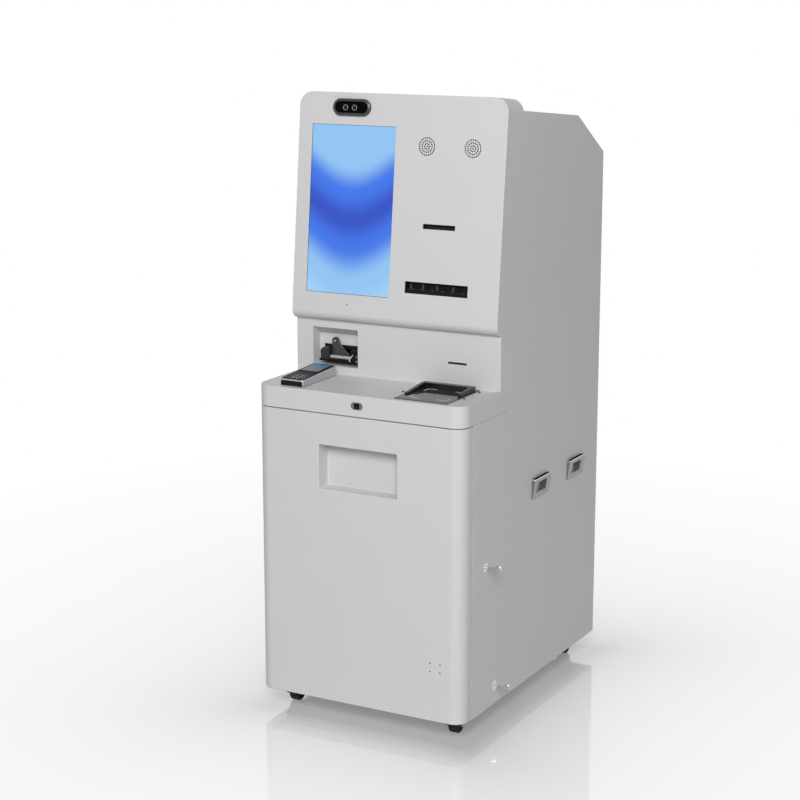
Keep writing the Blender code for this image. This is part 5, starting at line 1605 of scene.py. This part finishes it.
class MakeRearFittings(bpy.types.Operator):
    """Make the rear door's lever and louvre hoods, and the cover's screws"""

    bl_idname = "cash_machine.rear_fittings"
    bl_label = "Rear fittings"

    def execute(self, context):
        softened("rear_door_handle", 0.0028, "black_grain", segments=3)
        low, high = REAR.span("rear_door")
        half = 0.112
        hoods = []
        for base in (low[1] + 0.080, high[1] - 0.200):
            for row in range(6):
                z = base + row * 0.020 + 0.0035
                u = np.linspace(-1, 1, 33)
                v = np.linspace(0, 1, 7)[:, None]
                swell = np.sin(v * math.pi / 2) * np.sqrt(np.maximum(1 - u**8, 0.0))
                hoods.append(grid(REAR(u * half, z + 0.0045 - 0.0095 * v, FIT + 0.0042 * swell)))
        inside = REAR(0.0, (low[1] + high[1]) / 2, -0.4)
        body = body_of("rear_door")
        piece("louvre_hoods", hoods, body, "powder_coat", wall=0.0008, inside=inside)
        heads = []
        edge = -low[0] + 0.028
        for side in (-1, 1):
            for z in np.linspace(low[1] + 0.03, high[1] - 0.03, 6):
                heads.append(screw(REAR.at(side * edge, z), 0.0036, 0.0016))
        piece("cover_screws", heads, "cabinet", "zinc_plate")
        return {"FINISHED"}


# ---------------------------------------------------------------- stage

# Near and far: the distances that set how fast the floor turns white. Nearer the machine it stays darker, a
# painted shade around the footprint.
FLOOR_REACH = (0.06, 0.2)


class MakeStage(bpy.types.Operator):
    """Make the pale floor, the soft lamps, the world and the camera"""

    bl_idname = "cash_machine.stage"
    bl_label = "Stage"

    def execute(self, context):
        scene = context.scene
        scene.view_settings.view_transform = "Standard"
        floor_finish(scene.cash_machine_colours.floor)
        radius = scene.cash_machine_sizes.floor
        rings = np.geomspace(0.5, radius, 12)[:, None, None] * circle(1.0, 64)
        points, faces = grid(np.concatenate((rings, np.full((*rings.shape[:2], 1), -0.0002)), -1), wrap=True)
        faces.append(list(range(64)))
        mesh = bpy.data.meshes.new("floor")
        mesh.from_pydata(points.tolist(), [], faces)
        clean(mesh)
        if mesh.polygons[0].normal.z < 0:
            mesh.flip_normals()
        floor = bpy.data.objects.new("floor", mesh)
        floor.data.materials.append(bpy.data.materials["studio_floor"])
        scene.collection.objects.link(floor)
        world_light()
        lamp("key_lamp", (2.85, -6.0, 4.35), (0.0, 0.0, 0.9), (2.6, 2.6), 443.0)
        lamp("rear_lamp", (-0.8, 5.6, 2.6), (0.0, 0.0, 1.2), (3.0, 2.0), 14.0)
        lamp("left_lamp", (-4.5, -3.2, 2.6), (0.0, 0.0, 0.9), (3.0, 3.0), 8.0)
        lens = bpy.data.cameras.new("camera")
        lens.sensor_width = 36.0
        lens.lens = 86.53
        camera = bpy.data.objects.new("camera", lens)
        camera.location = (2.5473, -4.9164, 2.0932)
        camera.rotation_euler = (math.radians(90 - 12.538), 0.0, math.radians(28.644))
        scene.collection.objects.link(camera)
        scene.camera = camera
        return {"FINISHED"}


def lamp(name, location, target, size, power):
    """A soft rectangular lamp that faces a point."""
    light = bpy.data.lights.new(name, "AREA")
    light.shape = "RECTANGLE"
    light.size, light.size_y = size
    light.energy = power
    item = bpy.data.objects.new(name, light)
    item.location = location
    item.rotation_euler = (Vector(target) - Vector(location)).to_track_quat("-Z", "Y").to_euler()
    item.visible_glossy = name == "key_lamp"
    bpy.context.scene.collection.objects.link(item)


def direct_view(tree):
    """1 for what the camera, a reflection or clear glass sees, and 0 for light that falls on things."""
    path = tree.nodes.new("ShaderNodeLightPath")
    seen = math_node(tree, "MAXIMUM", path.outputs["Is Camera Ray"], path.outputs["Is Glossy Ray"])
    return math_node(tree, "MAXIMUM", seen, path.outputs["Is Transmission Ray"])


def world_light():
    """White surroundings to the eye, and a weaker even light on the machine."""
    world = bpy.data.worlds.new("studio")
    bpy.context.scene.world = world
    world.use_nodes = True
    tree = world.node_tree
    background = tree.nodes["Background"]
    background.inputs["Color"].default_value = (1, 1, 1, 1)
    spread = tree.nodes.new("ShaderNodeMapRange")
    spread.inputs["To Min"].default_value = 0.13
    spread.inputs["To Max"].default_value = 1.0
    tree.links.new(direct_view(tree), spread.inputs["Value"])
    link(tree, spread, "Result", background, "Strength")


def floor_finish(colour):
    """Pale glossy floor that turns white with the distance d from the machine, as (d + near) / (d + far).
    Towards the machine it darkens by distance, a painted shade around the footprint over the real shadow in
    its diffuse part, and its reflection fades the same way.
    """
    tree, shader = nodes_of("studio_floor")
    tree.nodes.remove(shader)
    coordinates = tree.nodes.new("ShaderNodeTexCoord")
    split = tree.nodes.new("ShaderNodeSeparateXYZ")
    link(tree, coordinates, "Object", split, "Vector")
    apart = []
    for axis, half in (("X", HALF), ("Y", DEPTH / 2)):
        away = math_node(tree, "ABSOLUTE", split.outputs[axis])
        past = math_node(tree, "MAXIMUM", math_node(tree, "SUBTRACT", away, half), 0.0)
        apart.append(math_node(tree, "MULTIPLY", past, past))
    distance = math_node(tree, "SQRT", math_node(tree, "ADD", *apart))
    near, far = (math_node(tree, "ADD", distance, reach) for reach in FLOOR_REACH)
    # Share of white glow: lower near the machine, which paints shade around its footprint.
    share = math_node(tree, "MULTIPLY", math_node(tree, "DIVIDE", near, far), 1.06)
    share = math_node(tree, "MINIMUM", share, 1.0)
    amount = math_node(tree, "MULTIPLY", share, direct_view(tree))
    matt = tree.nodes.new("ShaderNodeBsdfDiffuse")
    matt.inputs["Color"].default_value = (*colour, 1)
    glow = tree.nodes.new("ShaderNodeEmission")
    glow.inputs["Color"].default_value = (1, 1, 1, 1)
    gloss = tree.nodes.new("ShaderNodeBsdfGlossy")
    gloss.inputs["Roughness"].default_value = 0.07
    fresnel = tree.nodes.new("ShaderNodeFresnel")
    fresnel.inputs["IOR"].default_value = 1.33
    mirror = math_node(tree, "ADD", math_node(tree, "MULTIPLY", fresnel.outputs[0], 0.75), 0.25)
    rest = math_node(tree, "ADD", math_node(tree, "MULTIPLY", share, -1.0), 1.0)
    mirror = math_node(tree, "MULTIPLY", mirror, math_node(tree, "POWER", rest, 0.35))
    under = tree.nodes.new("ShaderNodeMixShader")
    over = tree.nodes.new("ShaderNodeMixShader")
    for mix, factor, first, second in ((under, amount, matt, glow), (over, mirror, under, gloss)):
        tree.links.new(factor, mix.inputs[0])
        tree.links.new(first.outputs[0], mix.inputs[1])
        tree.links.new(second.outputs[0], mix.inputs[2])
    tree.links.new(over.outputs[0], tree.nodes["Material Output"].inputs["Surface"])


# ---------------------------------------------------------------- panel and registration

STEPS = (
    MakeFinishes,
    MakeStage,
    MakeFrontShell,
    MakeFrontDoor,
    MakePanels,
    MakeLiftHandles,
    MakeLocks,
    MakeCasters,
    MakeDisplay,
    MakeCamera,
    MakeSpeakers,
    MakeReceiptPrinter,
    MakeNoteOutlet,
    MakeCardReader,
    MakeFeeder,
    MakeScanner,
    MakeSensor,
    MakeTerminal,
    MakeDispenser,
    MakeComputer,
    MakePowerInlet,
    MakeRearFittings,
)


class CashMachinePanel(bpy.types.Panel):
    """Sizes, colours and steps of the cash machine"""

    bl_idname = "VIEW3D_PT_cash_machine"
    bl_label = "Cash machine"
    bl_space_type = "VIEW_3D"
    bl_region_type = "UI"
    bl_category = "Cash machine"

    def draw(self, context):
        layout = self.layout
        for group in (context.scene.cash_machine_sizes, context.scene.cash_machine_colours):
            for name in group.bl_rna.properties.keys():
                if name not in ("rna_type", "name"):
                    layout.prop(group, name)
        for step in STEPS:
            layout.operator(step.bl_idname)


def register():
    for group in (CashMachineSizes, CashMachineColours, *STEPS, CashMachinePanel):
        bpy.utils.register_class(group)
    bpy.types.Scene.cash_machine_sizes = PointerProperty(type=CashMachineSizes)
    bpy.types.Scene.cash_machine_colours = PointerProperty(type=CashMachineColours)


def unregister():
    del bpy.types.Scene.cash_machine_colours
    del bpy.types.Scene.cash_machine_sizes
    for group in reversed((CashMachineSizes, CashMachineColours, *STEPS, CashMachinePanel)):
        bpy.utils.unregister_class(group)


def main():
    """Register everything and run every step."""
    register()
    for step in STEPS:
        group, name = step.bl_idname.split(".")
        getattr(getattr(bpy.ops, group), name)()


if __name__ == "__main__":
    main()
